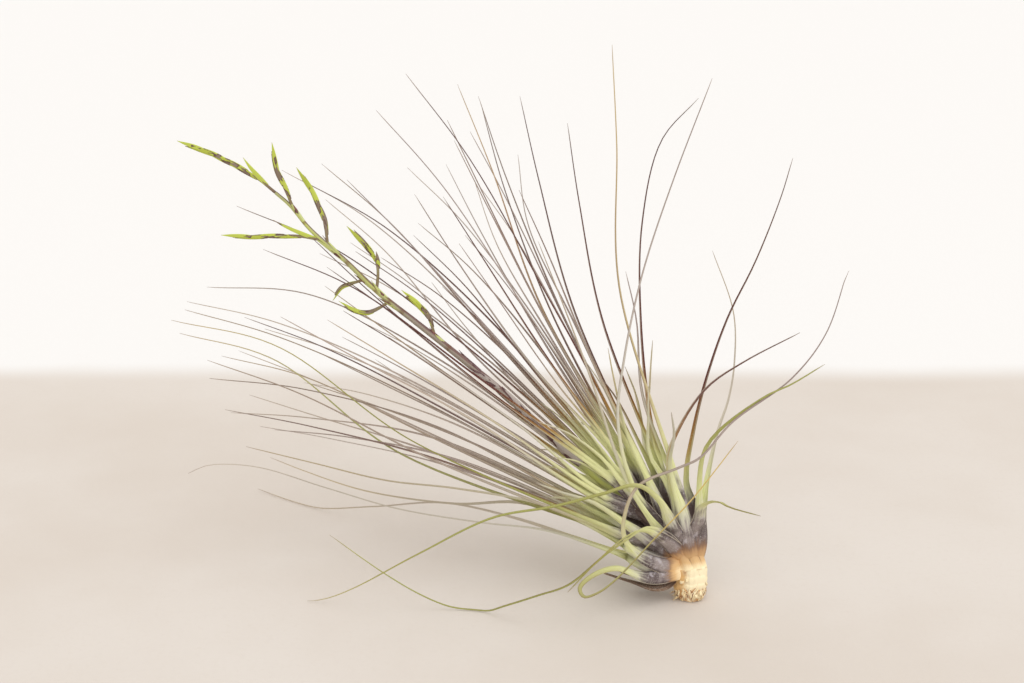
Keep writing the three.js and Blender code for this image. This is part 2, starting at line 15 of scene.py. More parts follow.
import bpy
import numpy as np
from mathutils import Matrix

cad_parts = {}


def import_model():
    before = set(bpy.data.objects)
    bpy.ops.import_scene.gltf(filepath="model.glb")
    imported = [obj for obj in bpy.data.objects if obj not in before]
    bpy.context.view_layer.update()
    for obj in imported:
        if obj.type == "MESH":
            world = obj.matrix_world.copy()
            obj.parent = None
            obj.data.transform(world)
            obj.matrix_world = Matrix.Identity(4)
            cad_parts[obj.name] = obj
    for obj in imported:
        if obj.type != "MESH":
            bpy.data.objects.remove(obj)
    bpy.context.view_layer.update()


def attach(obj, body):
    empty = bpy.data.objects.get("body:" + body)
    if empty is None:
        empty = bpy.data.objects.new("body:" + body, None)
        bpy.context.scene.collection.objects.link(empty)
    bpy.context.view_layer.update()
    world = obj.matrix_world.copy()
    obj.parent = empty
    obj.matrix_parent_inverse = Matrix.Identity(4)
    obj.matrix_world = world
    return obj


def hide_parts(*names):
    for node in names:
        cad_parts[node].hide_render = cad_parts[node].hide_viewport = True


log = logging.getLogger("air_plant")

Array = np.ndarray
Point = tuple[float, ...]
Colour = tuple[int, int, int]  # as on a screen, 0 to 255

MM = 0.001
BODY = "root"
UV_MAP = "OFBake"

LEAN_BACK = math.radians(17)  # the fan of leaves leans back this far from upright
GOLDEN_ANGLE = math.radians(137.5)  # from one bract round the scape to the next
GOLDEN_PART = 0.618034  # the same as a part of a row
GAP = 0.3  # clearance between pieces that touch

RIGHT = np.array([1.0, 0.0, 0.0])
UP = np.array([0.0, math.sin(LEAN_BACK), math.cos(LEAN_BACK)])
BACK = np.array([0.0, math.cos(LEAN_BACK), -math.sin(LEAN_BACK)])
FRONT = np.array([0.0, -1.0, 0.0])


# ------------------------------------------------------------------ places and chance


def place(point: Point) -> Array:
    """The place of a point of the fan, in the plant's own frame.

    Args:
        point: x, up and, if it isn't 0, depth, in millimetres.

    Returns:
        The place in millimetres, +Z up.
    """
    x, up, depth = (*point, 0.0)[:3]
    return x * RIGHT + up * UP + depth * BACK


def unit(vectors: Array) -> Array:
    """The same directions, each of length 1."""
    return vectors / np.linalg.norm(vectors, axis=-1, keepdims=True)


def mix(low: float, high: float, part: float) -> float:
    """The value this part of the way from low to high."""
    return low + (high - low) * part


def smooth(low: float, high: float, x: float | Array) -> float | Array:
    """0 below low, 1 above high, and an even slope's S between them."""
    t = np.clip((x - low) / (high - low), 0, 1)
    return t * t * (3 - 2 * t)


class Draw(IntEnum):
    """What a random number settles. Each has a run of numbers of its own."""

    TORN_TO = 70
    CUT_START = 71
    CUT_GRAIN = 72
    CUT_BUNDLE = 73
    FLAKE_LEVEL = 73  # the same run, read by flake
    WHISKER_LUCK = 74
    STRAND_SIDE = 75
    STRAND_ABOVE = 76
    STRAND_DRIFT = 77
    STRAND_LIFT = 78
    STRAND_REACH = 79
    STRAND_WIDTH = 81
    STRAND_LUCK = 82
    FLAKE_LENGTH = 83
    FLAKE_LIFT = 84
    FLAKE_WIDTH = 85
    FLAKE_LUCK = 86
    WHISKER_SIDE = 87
    WHISKER_ABOVE = 88
    WHISKER_BEND = 89
    WHISKER_LENGTH = 90
    LEAF_LUCK = 91
    LEAF_SWAY = 92
    LEAF_TWIST = 93
    MAROON = 94
    OLIVE = 95
    LEAF_RIPPLE = 96
    TAN = 97
    PALE = 98
    BRACT_LUCK = 101
    BRACT_DUSK = 103


def chance(index: int, channel: int) -> float:
    """A repeatable random number from 0 to 1.

    Args:
        index: The thing that it is drawn for.
        channel: What it settles.

    Returns:
        The number, always the same for the same pair.
    """
    most = 0xFFFFFFFF
    h = ((index + 1) * 374761393 + (channel + 1) * 668265263) & most
    h = ((h ^ (h >> 13)) * 1274126177) & most
    h = ((h ^ (h >> 16)) * 2246822519) & most
    return (h ^ (h >> 15)) / (most + 1)


def drawn(low: float, high: float, index: int, channel: int) -> float:
    """A repeatable random number from low to high."""
    return mix(low, high, chance(index, channel))


def lifted(places: Array, least: float | Array = 0.0) -> Array:
    """Raises what lies too low.

    Args:
        places: Places, +Z up.
        least: The least height.

    Returns:
        A copy of the places, with none of them lower.
    """
    raised = places.copy()
    raised[..., 2] = np.maximum(places[..., 2], least)
    return raised


# ------------------------------------------------------------------ lines and sections


def turns(sides: int) -> Array:
    """The angle of each corner of a ring, in radians."""
    return 2 * math.pi * np.arange(sides) / sides


def ring_shares(sides: int) -> Array:
    """How far round a ring each of its corners lies, from 0 to 1."""
    return np.arange(sides)[None] / sides


class Line:
    """A smooth curve through points, measured along its length in millimetres."""

    STEPS = 36
    NUDGE = 0.3

    def __init__(self, points: Sequence[Array]) -> None:
        """Draws the curve.

        Args:
            points: Places that the curve passes through, in order.
        """
        first, last = 2 * points[0] - points[1], 2 * points[-1] - points[-2]
        knots = [first, *points, last]
        spans = [self._span(*knots[i : i + 4]) for i in range(len(points) - 1)]
        self.places = np.vstack([points[0], *spans])
        gaps = np.linalg.norm(np.diff(self.places, axis=0), axis=1)
        self.marks = np.concatenate([[0.0], np.cumsum(gaps)])
        self.length = float(self.marks[-1])
        self.endward = unit(self.places[-1] - self.places[-2])

    def _span(self, a: Array, b: Array, c: Array, d: Array) -> Array:
        """One span of the curve.

        Args:
            a: The knot before the span.
            b: The knot where it starts.
            c: The knot where it ends.
            d: The knot after it.

        Returns:
            Points after b, up to c, on a curve that bends as a and d ask.
        """
        before, along, after = (
            math.sqrt(np.linalg.norm(q - p)) for p, q in ((a, b), (b, c), (c, d))
        )
        leave = ((b - a) / before - (c - a) / (before + along) + (c - b) / along) * along
        reach = ((c - b) / along - (d - b) / (along + after) + (d - c) / after) * along
        t = np.linspace(0, 1, self.STEPS + 1)[1:, None]
        square = 3 * (c - b) - 2 * leave - reach
        cube = 2 * (b - c) + leave + reach
        return b + leave * t + square * t**2 + cube * t**3

    def at(self, distance: float | Array) -> Array:
        """The place at a distance from the start, or straight on past the end."""
        inside = [np.interp(distance, self.marks, axis) for axis in self.places.T]
        beyond = np.clip(np.asarray(distance) - self.length, 0, None)
        return np.stack(inside, -1) + beyond[..., None] * self.endward

    def toward(self, distance: float | Array) -> Array:
        """The direction of the curve at a distance from its start."""
        return unit(self.at(distance + self.NUDGE) - self.at(distance - self.NUDGE))


@dataclass(frozen=True)
class Frames:
    """Places along a line, each with the way its section faces.

    Attributes:
        at: The places.
        normal: The way the section's back faces.
        side: Across the section.
    """

    at: Array
    normal: Array
    side: Array

    @classmethod
    def along(cls, points: Array, outward: Array = FRONT, twist: Array | float = 0.0) -> "Frames":
        """Frames that turn no more than the line does.

        Args:
            points: Places along the line.
            outward: The way the first section faces, as near as the line allows.
            twist: Extra turn about the line at each place, in radians.

        Returns:
            The frames.
        """
        tangents = unit(np.gradient(points, axis=0))
        normals, normal = [], outward
        for tangent in tangents:
            normal = unit(normal - tangent * (normal @ tangent))
            normals.append(normal)
        straight = np.array(normals)
        side = np.cross(tangents, straight)
        turn = np.broadcast_to(np.asarray(twist, float), len(points))[:, None]
        facing = straight * np.cos(turn) + side * np.sin(turn)
        return cls(points, facing, np.cross(tangents, facing))

    def rings(self, x: Array, y: Array) -> Array:
        """The corners of a section at each place.

        Args:
            x: How far each corner lies to the side, as places x corners.
            y: How far it lies towards the normal.

        Returns:
            The rings, as places x corners x 3.
        """
        across = self.at[:, None] + x[..., None] * self.side[:, None]
        return across + y[..., None] * self.normal[:, None]


@dataclass
class Strip:
    """A closed tube of rings, as each leaf, bract, stalk or fibre is.

    Attributes:
        rings: Corners of the section at each station, as stations x corners x 3. The
            number of corners is even.
        notes: What the finish reads at each corner, by name.
        margins: The corners whose long edges are sharp.
    """

    rings: Array
    notes: dict[str, Array | float]
    margins: tuple[int, ...] = ()


@dataclass
class Trough:
    """The section of a leaf or bract: a wall round at the back and hollow in front.

    Attributes:
        half: Half the width, at each station.
        sag: From the margins to the ridge.
        wall: Thickness of the wall at the ridge.
        margin: Thickness of the wall at its margins.
        bend: How far round the wall goes on each side, in radians.
        ridge: How far the ridge stands out from the line.
        corners: The corners of the back. The hollow has as many.
    """

    half: Array
    sag: Array
    wall: Array
    margin: Array
    bend: Array
    ridge: Array
    corners: int = 7

    def strip(self, frames: Frames, notes: dict[str, Array | float]) -> Strip:
        """Draws the section along a line: in each ring the back comes first, then the hollow.

        Args:
            frames: Places along the line.
            notes: What the finish reads, besides the place across and the hollow.

        Returns:
            The strip, with sharp margins.
        """
        v = np.linspace(-1, 1, self.corners)
        bend = self.bend[:, None]
        across = np.sin(v * bend) / np.sin(bend)
        rise = (np.cos(v * bend) - np.cos(bend)) / (1 - np.cos(bend))
        back = self.half[:, None] * across, self.sag[:, None] * rise
        inner = (self.half - self.margin)[:, None] * across, (self.sag - self.wall)[:, None] * rise
        x = np.hstack([back[0], inner[0][:, ::-1]])
        y = np.hstack([back[1], inner[1][:, ::-1]]) + (self.ridge - self.sag)[:, None]
        own = {
            "across": np.concatenate([v, v[::-1]])[None],
            "hollow": np.repeat([0.0, 1.0], self.corners)[None],
        }
        margins = 0, self.corners - 1, self.corners, 2 * self.corners - 1
        return Strip(frames.rings(x, y), own | notes, margins)


def rod(frames: Frames, radius: Array, sides: int) -> Array:
    """The rings of a round rod.

    Args:
        frames: Places along its middle.
        radius: Its radius at each place, or at each place and corner.
        sides: Its corners, an even number.

    Returns:
        The rings.
    """
    reach = radius.reshape(len(frames.at), -1)
    return frames.rings(reach * np.cos(turns(sides)), -reach * np.sin(turns(sides)))


# ------------------------------------------------------------------ meshes


def added(name: str, data: bpy.types.ID) -> bpy.types.Object:
    """Puts a new object in the scene.

    Args:
        name: Its name.
        data: The mesh, light or camera that it shows.

    Returns:
        The object.
    """
    thing = bpy.data.objects.new(name, data)
    bpy.context.scene.collection.objects.link(thing)
    return thing


@dataclass(frozen=True)
class Piece:
    """A named mesh made of strips, each with its own band of the piece's map.

    Attributes:
        name: The name of the piece.
        node: The solid that it stands for.
        slot: The finish that it belongs to. It is not used.
    """

    name: str
    node: str
    slot: str

    CAP = 0.004  # the part of the map's width that each end of a strip takes
    MARGIN = 0.06  # of a band, left free between two strips
    LEAST_GAP = 0.001  # between stations on the map, in millimetres

    def make(self, strips: Sequence[Strip], finish: bpy.types.Material) -> None:
        """Builds the mesh, puts it in its place and dresses it.

        Args:
            strips: What the piece is made of.
            finish: Its material.
        """
        faces, places, spots, sharp = [], [], [], []
        base = 0
        for i, strip in enumerate(strips):
            own, uv = self._faces(strip, i / len(strips), (i + 1 - self.MARGIN) / len(strips))
            faces.append(own + base)
            spots.append(uv)
            places.append(strip.rings.reshape(-1, 3))
            sharp.append(self._sharp(strip, base))
            base += len(places[-1])
        mesh = bpy.data.meshes.new(self.name)
        mesh.from_pydata(np.vstack(places) * MM, [], np.vstack(faces).tolist())
        uv_map = mesh.uv_layers.new(name=UV_MAP)
        uv_map.data.foreach_set("uv", np.vstack(spots).astype(np.float32).ravel())
        self._mark_edges(mesh, np.concatenate(sharp))
        self._write_notes(mesh, strips)
        mesh.shade_smooth()
        mesh.materials.append(finish)
        piece = added(self.name, mesh)
        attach(piece, BODY)
        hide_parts(self.node)
        log.info("%s: %d strips, %d faces", self.name, len(strips), len(mesh.polygons))

    def _faces(self, strip: Strip, low: float, high: float) -> tuple[Array, Array]:
        """The faces of a strip and their places on its band of the map.

        Args:
            strip: The strip.
            low: The lower edge of its band.
            high: The upper edge of its band.

        Returns:
            The corners of each face, and the map's places for each corner of a face.
        """
        rows, corners = strip.rings.shape[:2]
        gaps = np.linalg.norm(np.diff(strip.rings.mean(1), axis=0), axis=1) + self.LEAST_GAP
        run = np.concatenate([[0], np.cumsum(gaps)])
        u = self.CAP + (1 - 2 * self.CAP) * run / run[-1]
        v = np.linspace(low, high, corners + 1)
        i, j = (grid.ravel() for grid in np.meshgrid(range(rows - 1), range(corners), indexing="ij"))
        k = (j + 1) % corners
        here, onward = i * corners, (i + 1) * corners
        body = np.stack([here + j, here + k, onward + k, onward + j], 1)
        body_spots = self._patches(u[i], u[i + 1], v[j], v[j + 1])
        j = np.arange(corners // 2 - 1)
        foot = np.stack([j + 1, j, corners - 1 - j, corners - 2 - j], 1)
        end = np.stack([j, j + 1, corners - 2 - j, corners - 1 - j], 1) + (rows - 1) * corners
        foot_spots = self._patches(self.CAP, 0.0, v[j + 1], v[j])
        end_spots = self._patches(1 - self.CAP, 1.0, v[j], v[j + 1])
        faces = np.vstack([body, foot, end])
        spots = np.vstack([body_spots, foot_spots, end_spots])
        if self._volume(strip.rings.reshape(-1, 3), faces) < 0:
            faces, spots = faces[:, ::-1], spots[:, ::-1]
        return faces, spots.reshape(-1, 2)

    @staticmethod
    def _patches(u: Array | float, next_u: Array | float, v: Array, next_v: Array) -> Array:
        """The four corners of each face's patch of the map, in the order of the face."""
        return np.stack(np.broadcast_arrays(u, v, u, next_v, next_u, next_v, next_u, v), 1).reshape(-1, 4, 2)

    @staticmethod
    def _volume(places: Array, faces: Array) -> float:
        """Six times the volume that the faces hold, below 0 if they point inward."""
        a, b, c, d = (places[faces[:, k]] - places[0] for k in range(4))
        return float((np.cross(a, b) * c).sum() + (np.cross(a, c) * d).sum())

    @staticmethod
    def _sharp(strip: Strip, base: int) -> Array:
        """Marks the corners of a strip's sharp lines.

        Args:
            strip: The strip.
            base: The number of its first corner in the mesh.

        Returns:
            A mark for each corner. Those in one sharp line share it, and others have -1.
        """
        marks = np.full(strip.rings.shape[:2], -1)
        for column in strip.margins:
            marks[:, column] = base + column
        return marks.ravel()

    @staticmethod
    def _mark_edges(mesh: bpy.types.Mesh, marks: Array) -> None:
        """Makes the edges between corners with the same mark sharp.

        Args:
            mesh: The mesh.
            marks: The mark of each of its corners, or -1.
        """
        ends = np.zeros(2 * len(mesh.edges), np.int32)
        mesh.edges.foreach_get("vertices", ends)
        first, second = marks[ends.reshape(-1, 2)].T
        edges = mesh.attributes.new("sharp_edge", "BOOLEAN", "EDGE")
        edges.data.foreach_set("value", (first == second) & (first >= 0))

    @staticmethod
    def _write_notes(mesh: bpy.types.Mesh, strips: Sequence[Strip]) -> None:
        """Writes what the finish reads, one value a corner, onto the mesh.

        Args:
            mesh: The mesh.
            strips: The strips that it is made of.
        """
        for name in strips[0].notes:
            values = [
                np.broadcast_to(strip.notes[name], strip.rings.shape[:2]).ravel()
                for strip in strips
            ]
            layer = mesh.attributes.new(name, "FLOAT", "POINT")
            layer.data.foreach_set("value", np.concatenate(values).astype(np.float32))


# ------------------------------------------------------------------ shader maths


def light(colour: Colour) -> tuple[float, float, float, float]:
    """A screen colour as the amounts of light that shaders reckon with."""
    part = [c / 255 for c in colour]
    return (*(c / 12.92 if c <= 0.04045 else ((c + 0.055) / 1.055) ** 2.4 for c in part), 1.0)


class Value:
    """A number, colour or vector on a shader. Arithmetic on numbers adds Math nodes."""

    def __init__(self, paint: "Paint", socket: bpy.types.NodeSocket) -> None:
        """Wraps a socket.

        Args:
            paint: The material that the socket is on.
            socket: The socket.
        """
        self.paint = paint
        self.socket = socket

    def _math(self, operation: str, *values: "Value | float") -> "Value":
        """A Math node on this value and others."""
        return self.paint.node("ShaderNodeMath", {"operation": operation}, dict(enumerate(values)))

    def __add__(self, other: "Value | float") -> "Value":
        """This value plus another."""
        return self._math("ADD", self, other)

    __radd__ = __add__

    def __sub__(self, other: "Value | float") -> "Value":
        """This value less another."""
        return self._math("SUBTRACT", self, other)

    def __rsub__(self, other: float) -> "Value":
        """A number less this value."""
        return self._math("SUBTRACT", other, self)

    def __mul__(self, other: "Value | float") -> "Value":
        """This value times another."""
        return self._math("MULTIPLY", self, other)

    __rmul__ = __mul__

    def __truediv__(self, other: "Value | float") -> "Value":
        """This value over another."""
        return self._math("DIVIDE", self, other)

    def __abs__(self) -> "Value":
        """This value without its sign."""
        return self._math("ABSOLUTE", self)

    def sine(self) -> "Value":
        """The sine of this value."""
        return self._math("SINE", self)

    def cosine(self) -> "Value":
        """The cosine of this value."""
        return self._math("COSINE", self)

    def step(self, low: float, high: float) -> "Value":
        """A soft step.

        Args:
            low: Where it is 0.
            high: Where it is 1. It may be the lower number, and then the step falls.

        Returns:
            0 on one side, 1 on the other, and an even slope's S between them.
        """
        foot, top = (0.0, 1.0) if high > low else (1.0, 0.0)
        inputs = {0: self, 1: min(low, high), 2: max(low, high), 3: foot, 4: top}
        return self.paint.node("ShaderNodeMapRange", {"interpolation_type": "SMOOTHSTEP"}, inputs)


class Paint:
    """A material whose nodes are written as expressions."""

    MIX_SOCKETS = 0, 6, 7, 2  # of a Mix node for colours: its factor, its colours and its result

    def __init__(self, name: str) -> None:
        """Starts a material with one surface shader.

        Args:
            name: The name of the material.
        """
        self.material = bpy.data.materials.new(name)
        self.material.use_nodes = True
        self.nodes = self.material.node_tree.nodes
        self.links = self.material.node_tree.links
        self.shader = self.nodes["Principled BSDF"]

    def node(
        self,
        kind: str,
        settings: dict | None = None,
        inputs: dict | None = None,
        output: int | str = 0,
    ) -> Value:
        """Adds a node.

        Args:
            kind: Its type.
            settings: Its properties.
            inputs: Values or links, by the number or name of their sockets.
            output: The number or name of the socket that is wanted.

        Returns:
            The wanted output.
        """
        node = self.nodes.new(kind)
        for name, value in (settings or {}).items():
            setattr(node, name, value)
        for key, value in (inputs or {}).items():
            self._feed(node.inputs[key], value)
        return Value(self, node.outputs[output])

    def _feed(self, socket: bpy.types.NodeSocket, value: object) -> None:
        """Links a value to a socket, or sets the socket to a plain one.

        Args:
            socket: The socket.
            value: The value.
        """
        if isinstance(value, Value):
            self.links.new(value.socket, socket)
        else:
            socket.default_value = value

    def note(self, name: str) -> Value:
        """What the mesh holds under this name at each corner."""
        return self.node("ShaderNodeAttribute", {"attribute_name": name}, output="Fac")

    def notes(self, *names: str) -> Iterator[Value]:
        """What the mesh holds under each of these names."""
        return (self.note(name) for name in names)

    def ramp(self, value: Value, stops: Sequence[tuple[float, Colour]]) -> Value:
        """A colour for each value from 0 to 1.

        Args:
            value: The value.
            stops: The place and the colour of each stop.

        Returns:
            The colour.
        """
        mixed = self.node("ShaderNodeValToRGB", None, {"Fac": value}, "Color")
        marks = mixed.socket.node.color_ramp.elements
        while len(marks) < len(stops):
            marks.new(1.0)
        for mark, (where, colour) in zip(marks, stops, strict=True):
            mark.position = where
            mark.color = light(colour)
        return mixed

    def blend(self, part: Value | float, low: Value | Colour, high: Value | Colour) -> Value:
        """Two colours mixed.

        Args:
            part: How much of the second shows.
            low: The first colour.
            high: The second colour.

        Returns:
            The mixed colour.
        """
        low, high = (c if isinstance(c, Value) else light(c) for c in (low, high))
        factor, first, second, result = self.MIX_SOCKETS
        inputs = {factor: part, first: low, second: high}
        return self.node("ShaderNodeMix", {"data_type": "RGBA"}, inputs, result)

    def layers(self, colour: Value | Colour, *others: tuple[Value | float, Value | Colour]) -> Value:
        """A colour with others laid over it, one after the other.

        Args:
            colour: The lowest colour.
            others: For each next layer, how much of it shows, and its colour.

        Returns:
            The mixed colour.
        """
        for part, over in others:
            colour = self.blend(part, colour, over)
        return colour

    def vector(self, x: Value | float, y: Value | float, z: Value | float) -> Value:
        """Three numbers as one vector."""
        return self.node("ShaderNodeCombineXYZ", None, {0: x, 1: y, 2: z})

    def place(self) -> Value:
        """The place on the object, in metres."""
        return self.node("ShaderNodeTexCoord", output="Object")

    def noise(self, where: Value, scale: float, detail: float = 2.0, rough: float = 0.5) -> Value:
        """Soft noise from 0 to 1.

        Args:
            where: The place that it is read at.
            scale: How many lumps there are in one unit of that place.
            detail: How many finer layers it has.
            rough: How strong the finer layers are.

        Returns:
            The noise.
        """
        inputs = {"Vector": where, "Scale": scale, "Detail": detail, "Roughness": rough}
        return self.node("ShaderNodeTexNoise", None, inputs, "Fac")

    def finish(
        self, colour: Value, rough: Value, height: Value, depth: float, specular: float,
    ) -> bpy.types.Material:
        """Joins everything to the surface shader.

        Args:
            colour: The base colour.
            rough: The roughness.
            height: The relief, from 0 to 1.
            depth: How deep the relief is, in millimetres.
            specular: The specular level, the same all over.

        Returns:
            The material.
        """
        relief = {"Strength": 1.0, "Distance": depth * MM, "Height": height}
        inputs = {
            "Base Color": colour, "Roughness": rough, "Specular IOR Level": specular,
            "Normal": self.node("ShaderNodeBump", None, relief, "Normal"),
        }
        for name, value in inputs.items():
            self._feed(self.shader.inputs[name], value)
        return self.material


# ------------------------------------------------------------------ finishes


class Tint(Enum):
    """The colour families of the leaves, as shares of maroon, olive, tan, paleness and dryness."""

    SILVER = (0.1, 0.3, 0.1, 0.7, 0.0)
    MAUVE = (0.4, 0.0, 0.15, 0.1, 0.0)
    MAROON = (0.9, 0.0, 0.05, 0.0, 0.0)
    OLIVE = (0.0, 1.0, 0.0, 0.3, 0.0)
    TAN = (0.0, 0.1, 1.0, 0.1, 0.0)
    GOLDEN = (0.0, 0.8, 1.0, 0.0, 0.0)
    DRY = (0.5, 0.0, 0.0, 0.0, 1.0)

    def notes(self, index: int, faint: float = 0.0) -> dict[str, float]:
        """The shares for one leaf, each a little off its family's.

        Args:
            index: The leaf's number.
            faint: How washed out the leaf is, as those at the back are.

        Returns:
            What the finish reads, by name.
        """
        maroon, olive, tan, pale, dry = self.value
        shares = {
            "maroon": maroon + drawn(-0.7, 0.3, index, Draw.MAROON) * min(1.0, 4 * maroon) - 0.35 * faint,
            "olive": olive + drawn(-0.15, 0.15, index, Draw.OLIVE) * (olive < 1),
            "tan": tan + drawn(-0.25, 0.4, index, Draw.TAN) * (tan < 1),
            "pale": pale + drawn(-0.15, 0.3, index, Draw.PALE),
            "dry": dry,
            "faint": faint,
        }
        return {name: float(np.clip(share, 0, 1)) for name, share in shares.items()}


@dataclass(frozen=True)
class LeafFinish:
    """Scaly leaf skin: a tan foot, a mauve-grey sheath, and a blade from pale green to maroon, with painted
    shade in the hollows, along the sheaths' flanks and in the seams between their feet.
    """

    cream: Colour = (252, 232, 190)
    amber: Colour = (222, 184, 132)
    tan: Colour = (190, 150, 108)
    rust: Colour = (128, 98, 80)
    # painted shade: the dark lines in the seams where the feet of the sheaths meet
    seam_shade: Colour = (104, 74, 60)
    mauve: Colour = (152, 140, 138)
    dusk: Colour = (96, 82, 82)
    # painted shade: the dark line along a sheath's flanks, where the next sheath laps over it
    groove: Colour = (62, 46, 48)
    lilac: Colour = (196, 188, 194)
    silver: Colour = (212, 208, 194)
    pale: Colour = (222, 222, 164)
    green: Colour = (186, 192, 102)
    grey: Colour = (192, 180, 174)
    slate: Colour = (150, 134, 130)
    gold: Colour = (156, 112, 48)
    maroon: Colour = (88, 32, 24)
    wine: Colour = (84, 42, 38)
    ash: Colour = (104, 82, 82)
    olive: Colour = (160, 160, 88)
    straw: Colour = (204, 186, 146)
    honey: Colour = (222, 190, 112)
    tawny: Colour = (184, 154, 124)
    haze: Colour = (208, 198, 187)
    tip: Colour = (176, 160, 148)
    margin: Colour = (226, 212, 188)
    # painted shade: the dark of the sheaths' hollows and of the heart's upper part
    shade: Colour = (98, 78, 70)
    dry: Colour = (128, 102, 82)
    dry_dark: Colour = (72, 54, 45)
    foot: float = 18.5  # millimetres from the stem's top that the tan reaches
    silver_and_highlight_side: float = 0.75  # how silvery one side of a maroon leaf is: partly its silvery scales, partly a painted highlight on that side
    blade_run: float = 300.0  # millimetres from the root over which the blade's colours change
    blotches: float = 110.0  # lumps of noise in a metre
    spots: float = 230.0
    scales: float = 1700.0

    def _blade(self, paint: Paint, far: Value, streak: Value) -> Value:
        """The colour of the blade, mixed from the colour families.

        Args:
            paint: The material.
            far: The distance from the root over the blade's run.
            streak: Noise drawn out along the leaf.

        Returns:
            The colour.
        """
        def family(*stops: tuple[float, Colour]) -> Value:
            """One family's colours, from the root to the tip."""
            return paint.ramp(far, [(0.0, self.pale), *stops])

        mauve = family(
            (0.13, self.pale), (0.24, self.silver), (0.45, self.grey), (0.8, self.slate), (1.0, self.tip),
        )
        tawny = family((0.14, self.pale), (0.28, self.straw), (0.6, self.tawny), (1.0, self.straw))
        olive = family((0.12, self.pale), (0.24, self.olive), (0.7, self.olive), (1.0, self.straw))
        red = family(
            (0.13, self.pale), (0.21, self.gold), (0.33, self.maroon), (0.55, self.wine),
            (0.82, self.ash), (1.0, self.tip),
        )
        # one side of each reddish blade turns silver: partly the leaf's silvery scales, partly a painted
        # highlight on that side
        which = paint.note("luck").step(0.49, 0.51) * 2.0 - 1.0
        silvery = (paint.note("across") * which + (streak - 0.5) * 0.8).step(0.0, 0.5) * far.step(0.7, 0.4)
        reddened = (paint.note("maroon") * (streak * 0.6 + 0.7)).step(0.15, 0.75)
        return paint.layers(
            mauve,
            (paint.note("tan"), tawny),
            (paint.note("olive"), olive),
            (reddened * (1.0 - silvery * self.silver_and_highlight_side), red),
            (paint.note("faint") * far.step(0.15, 0.35) * 0.6, self.haze),
        )

    def _sheath(self, paint: Paint, along: Value, streak: Value, blotch: Value) -> Value:
        """The mauve-grey of the sheath, with lilac blotches, silvery towards the blade.

        Args:
            paint: The material.
            along: The distance from the root over the sheath's length, made uneven.
            streak: Noise drawn out along the leaf.
            blotch: Noise in broad spots.

        Returns:
            The colour.
        """
        spots = paint.noise(paint.place(), self.spots, 3.0, 0.6)
        lighter = along.step(0.5, 1.3) + (streak - 0.5) * 0.9 + paint.note("pale") * 0.45
        return paint.layers(
            self.dusk,
            (blotch.step(0.38, 0.6), self.mauve),
            (spots.step(0.54, 0.68) * 0.7, self.lilac),
            (lighter.step(0.3, 1.1), self.silver),
        )

    def _foot(self, paint: Paint, streak: Value, blotch: Value) -> tuple[Value, Value]:
        """The cream and tan round the stem's top, with painted shade in the seams between the feet.

        Args:
            paint: The material.
            streak: Noise drawn out along the leaf.
            blotch: Noise in broad spots.

        Returns:
            The colour, and where it shows.
        """
        uneven = (blotch - 0.5) * 0.45 + (streak - 0.5) * 0.4
        apart = paint.note("apart") / self.foot + uneven
        above = paint.note("above") / self.foot
        colour = paint.ramp(above + uneven * 0.4, [
            (0.0, self.cream), (0.03, self.cream), (0.2, self.amber), (0.48, self.tan), (0.8, self.rust),
        ])
        # painted shade along the feet's margins, in the seams between them
        seam_shade = abs(paint.note("across")).step(0.7, 1.0) * above.step(0.05, 0.3)
        colour = paint.layers(colour, (apart.step(0.7, 1.0) * 0.75, self.rust), (seam_shade * 0.75, self.seam_shade))
        return colour, apart.step(1.14, 0.86)

    def material(self) -> bpy.types.Material:
        """Builds the leaf's material."""
        paint = Paint("leaf_skin")
        where, part, run, reach = paint.place(), *paint.notes("sheath_part", "run", "reach")
        across, hollow, luck, pale = paint.notes("across", "hollow", "luck", "pale")
        grain = paint.vector(run * 0.07, across * 4.0 + hollow * 11.0, luck * 90.0)
        fine_grain = paint.vector(run * 0.25, across * 16.0 + hollow * 31.0, luck * 50.0)
        streak, fine = paint.noise(grain, 1.0, 3.0, 0.6), paint.noise(fine_grain, 1.0)
        blotch = paint.noise(where, self.blotches, 3.0)
        scales = paint.noise(where, self.scales, 2.0, 0.7)
        along = part + (blotch - 0.5) * 0.5 + (streak - 0.5) * 0.4 + pale * 0.25
        on_sheath, beside = along.step(1.35, 0.8), abs(across)
        foot, on_foot = self._foot(paint, streak, blotch)
        on_flank = (beside.step(0.45, 0.95) * 0.55 + hollow * 0.12) * (1.0 - pale)
        bare_sheath = on_sheath * (1.0 - on_foot) * (1.0 - hollow)
        scaly = scales.step(0.5, 0.75) * (1.0 - on_foot) * (1.0 - hollow * on_sheath)
        side_tone = paint.blend(run.step(55.0, 100.0), self.gold, self.maroon)
        old = paint.blend(streak.step(0.3, 0.7), self.dry_dark, self.dry)
        colour = paint.layers(
            self._blade(paint, run / self.blade_run, streak),
            (on_flank * run.step(40.0, 75.0) * run.step(230.0, 110.0), side_tone),
            (run.step(80.0, 40.0) * (streak.step(0.5, 0.68) * 0.5 + hollow * 0.2), self.green),
            (paint.note("olive") * paint.note("tan") * reach.step(0.6, 0.8), self.honey),
            (on_sheath, self._sheath(paint, along, streak, blotch)),
            (fine.step(0.5, 0.3) * 0.3 * (on_sheath * 0.6 + 0.4), self.dusk),
            (on_foot, foot),
            # painted shade along the flanks of the bare sheaths, inside their pale margins
            (beside.step(0.5, 0.86) * bare_sheath * 0.75, self.groove),
            (beside.step(0.88, 1.0) * bare_sheath * 0.7, self.margin),
            # painted shade in the hollows near the roots
            (hollow * along.step(1.0, 0.5) * 0.8, self.shade),
            (paint.note("dry"), old),
            (scaly * (on_sheath * 0.25 + 0.3), self.silver),
            (reach.step(0.93, 1.0) * 0.6, self.tip),
        )
        height = fine * 0.5 + streak * 0.3 + scales * 0.35
        return paint.finish(colour, 0.55 + scales * 0.3, height, depth=0.2, specular=0.3)


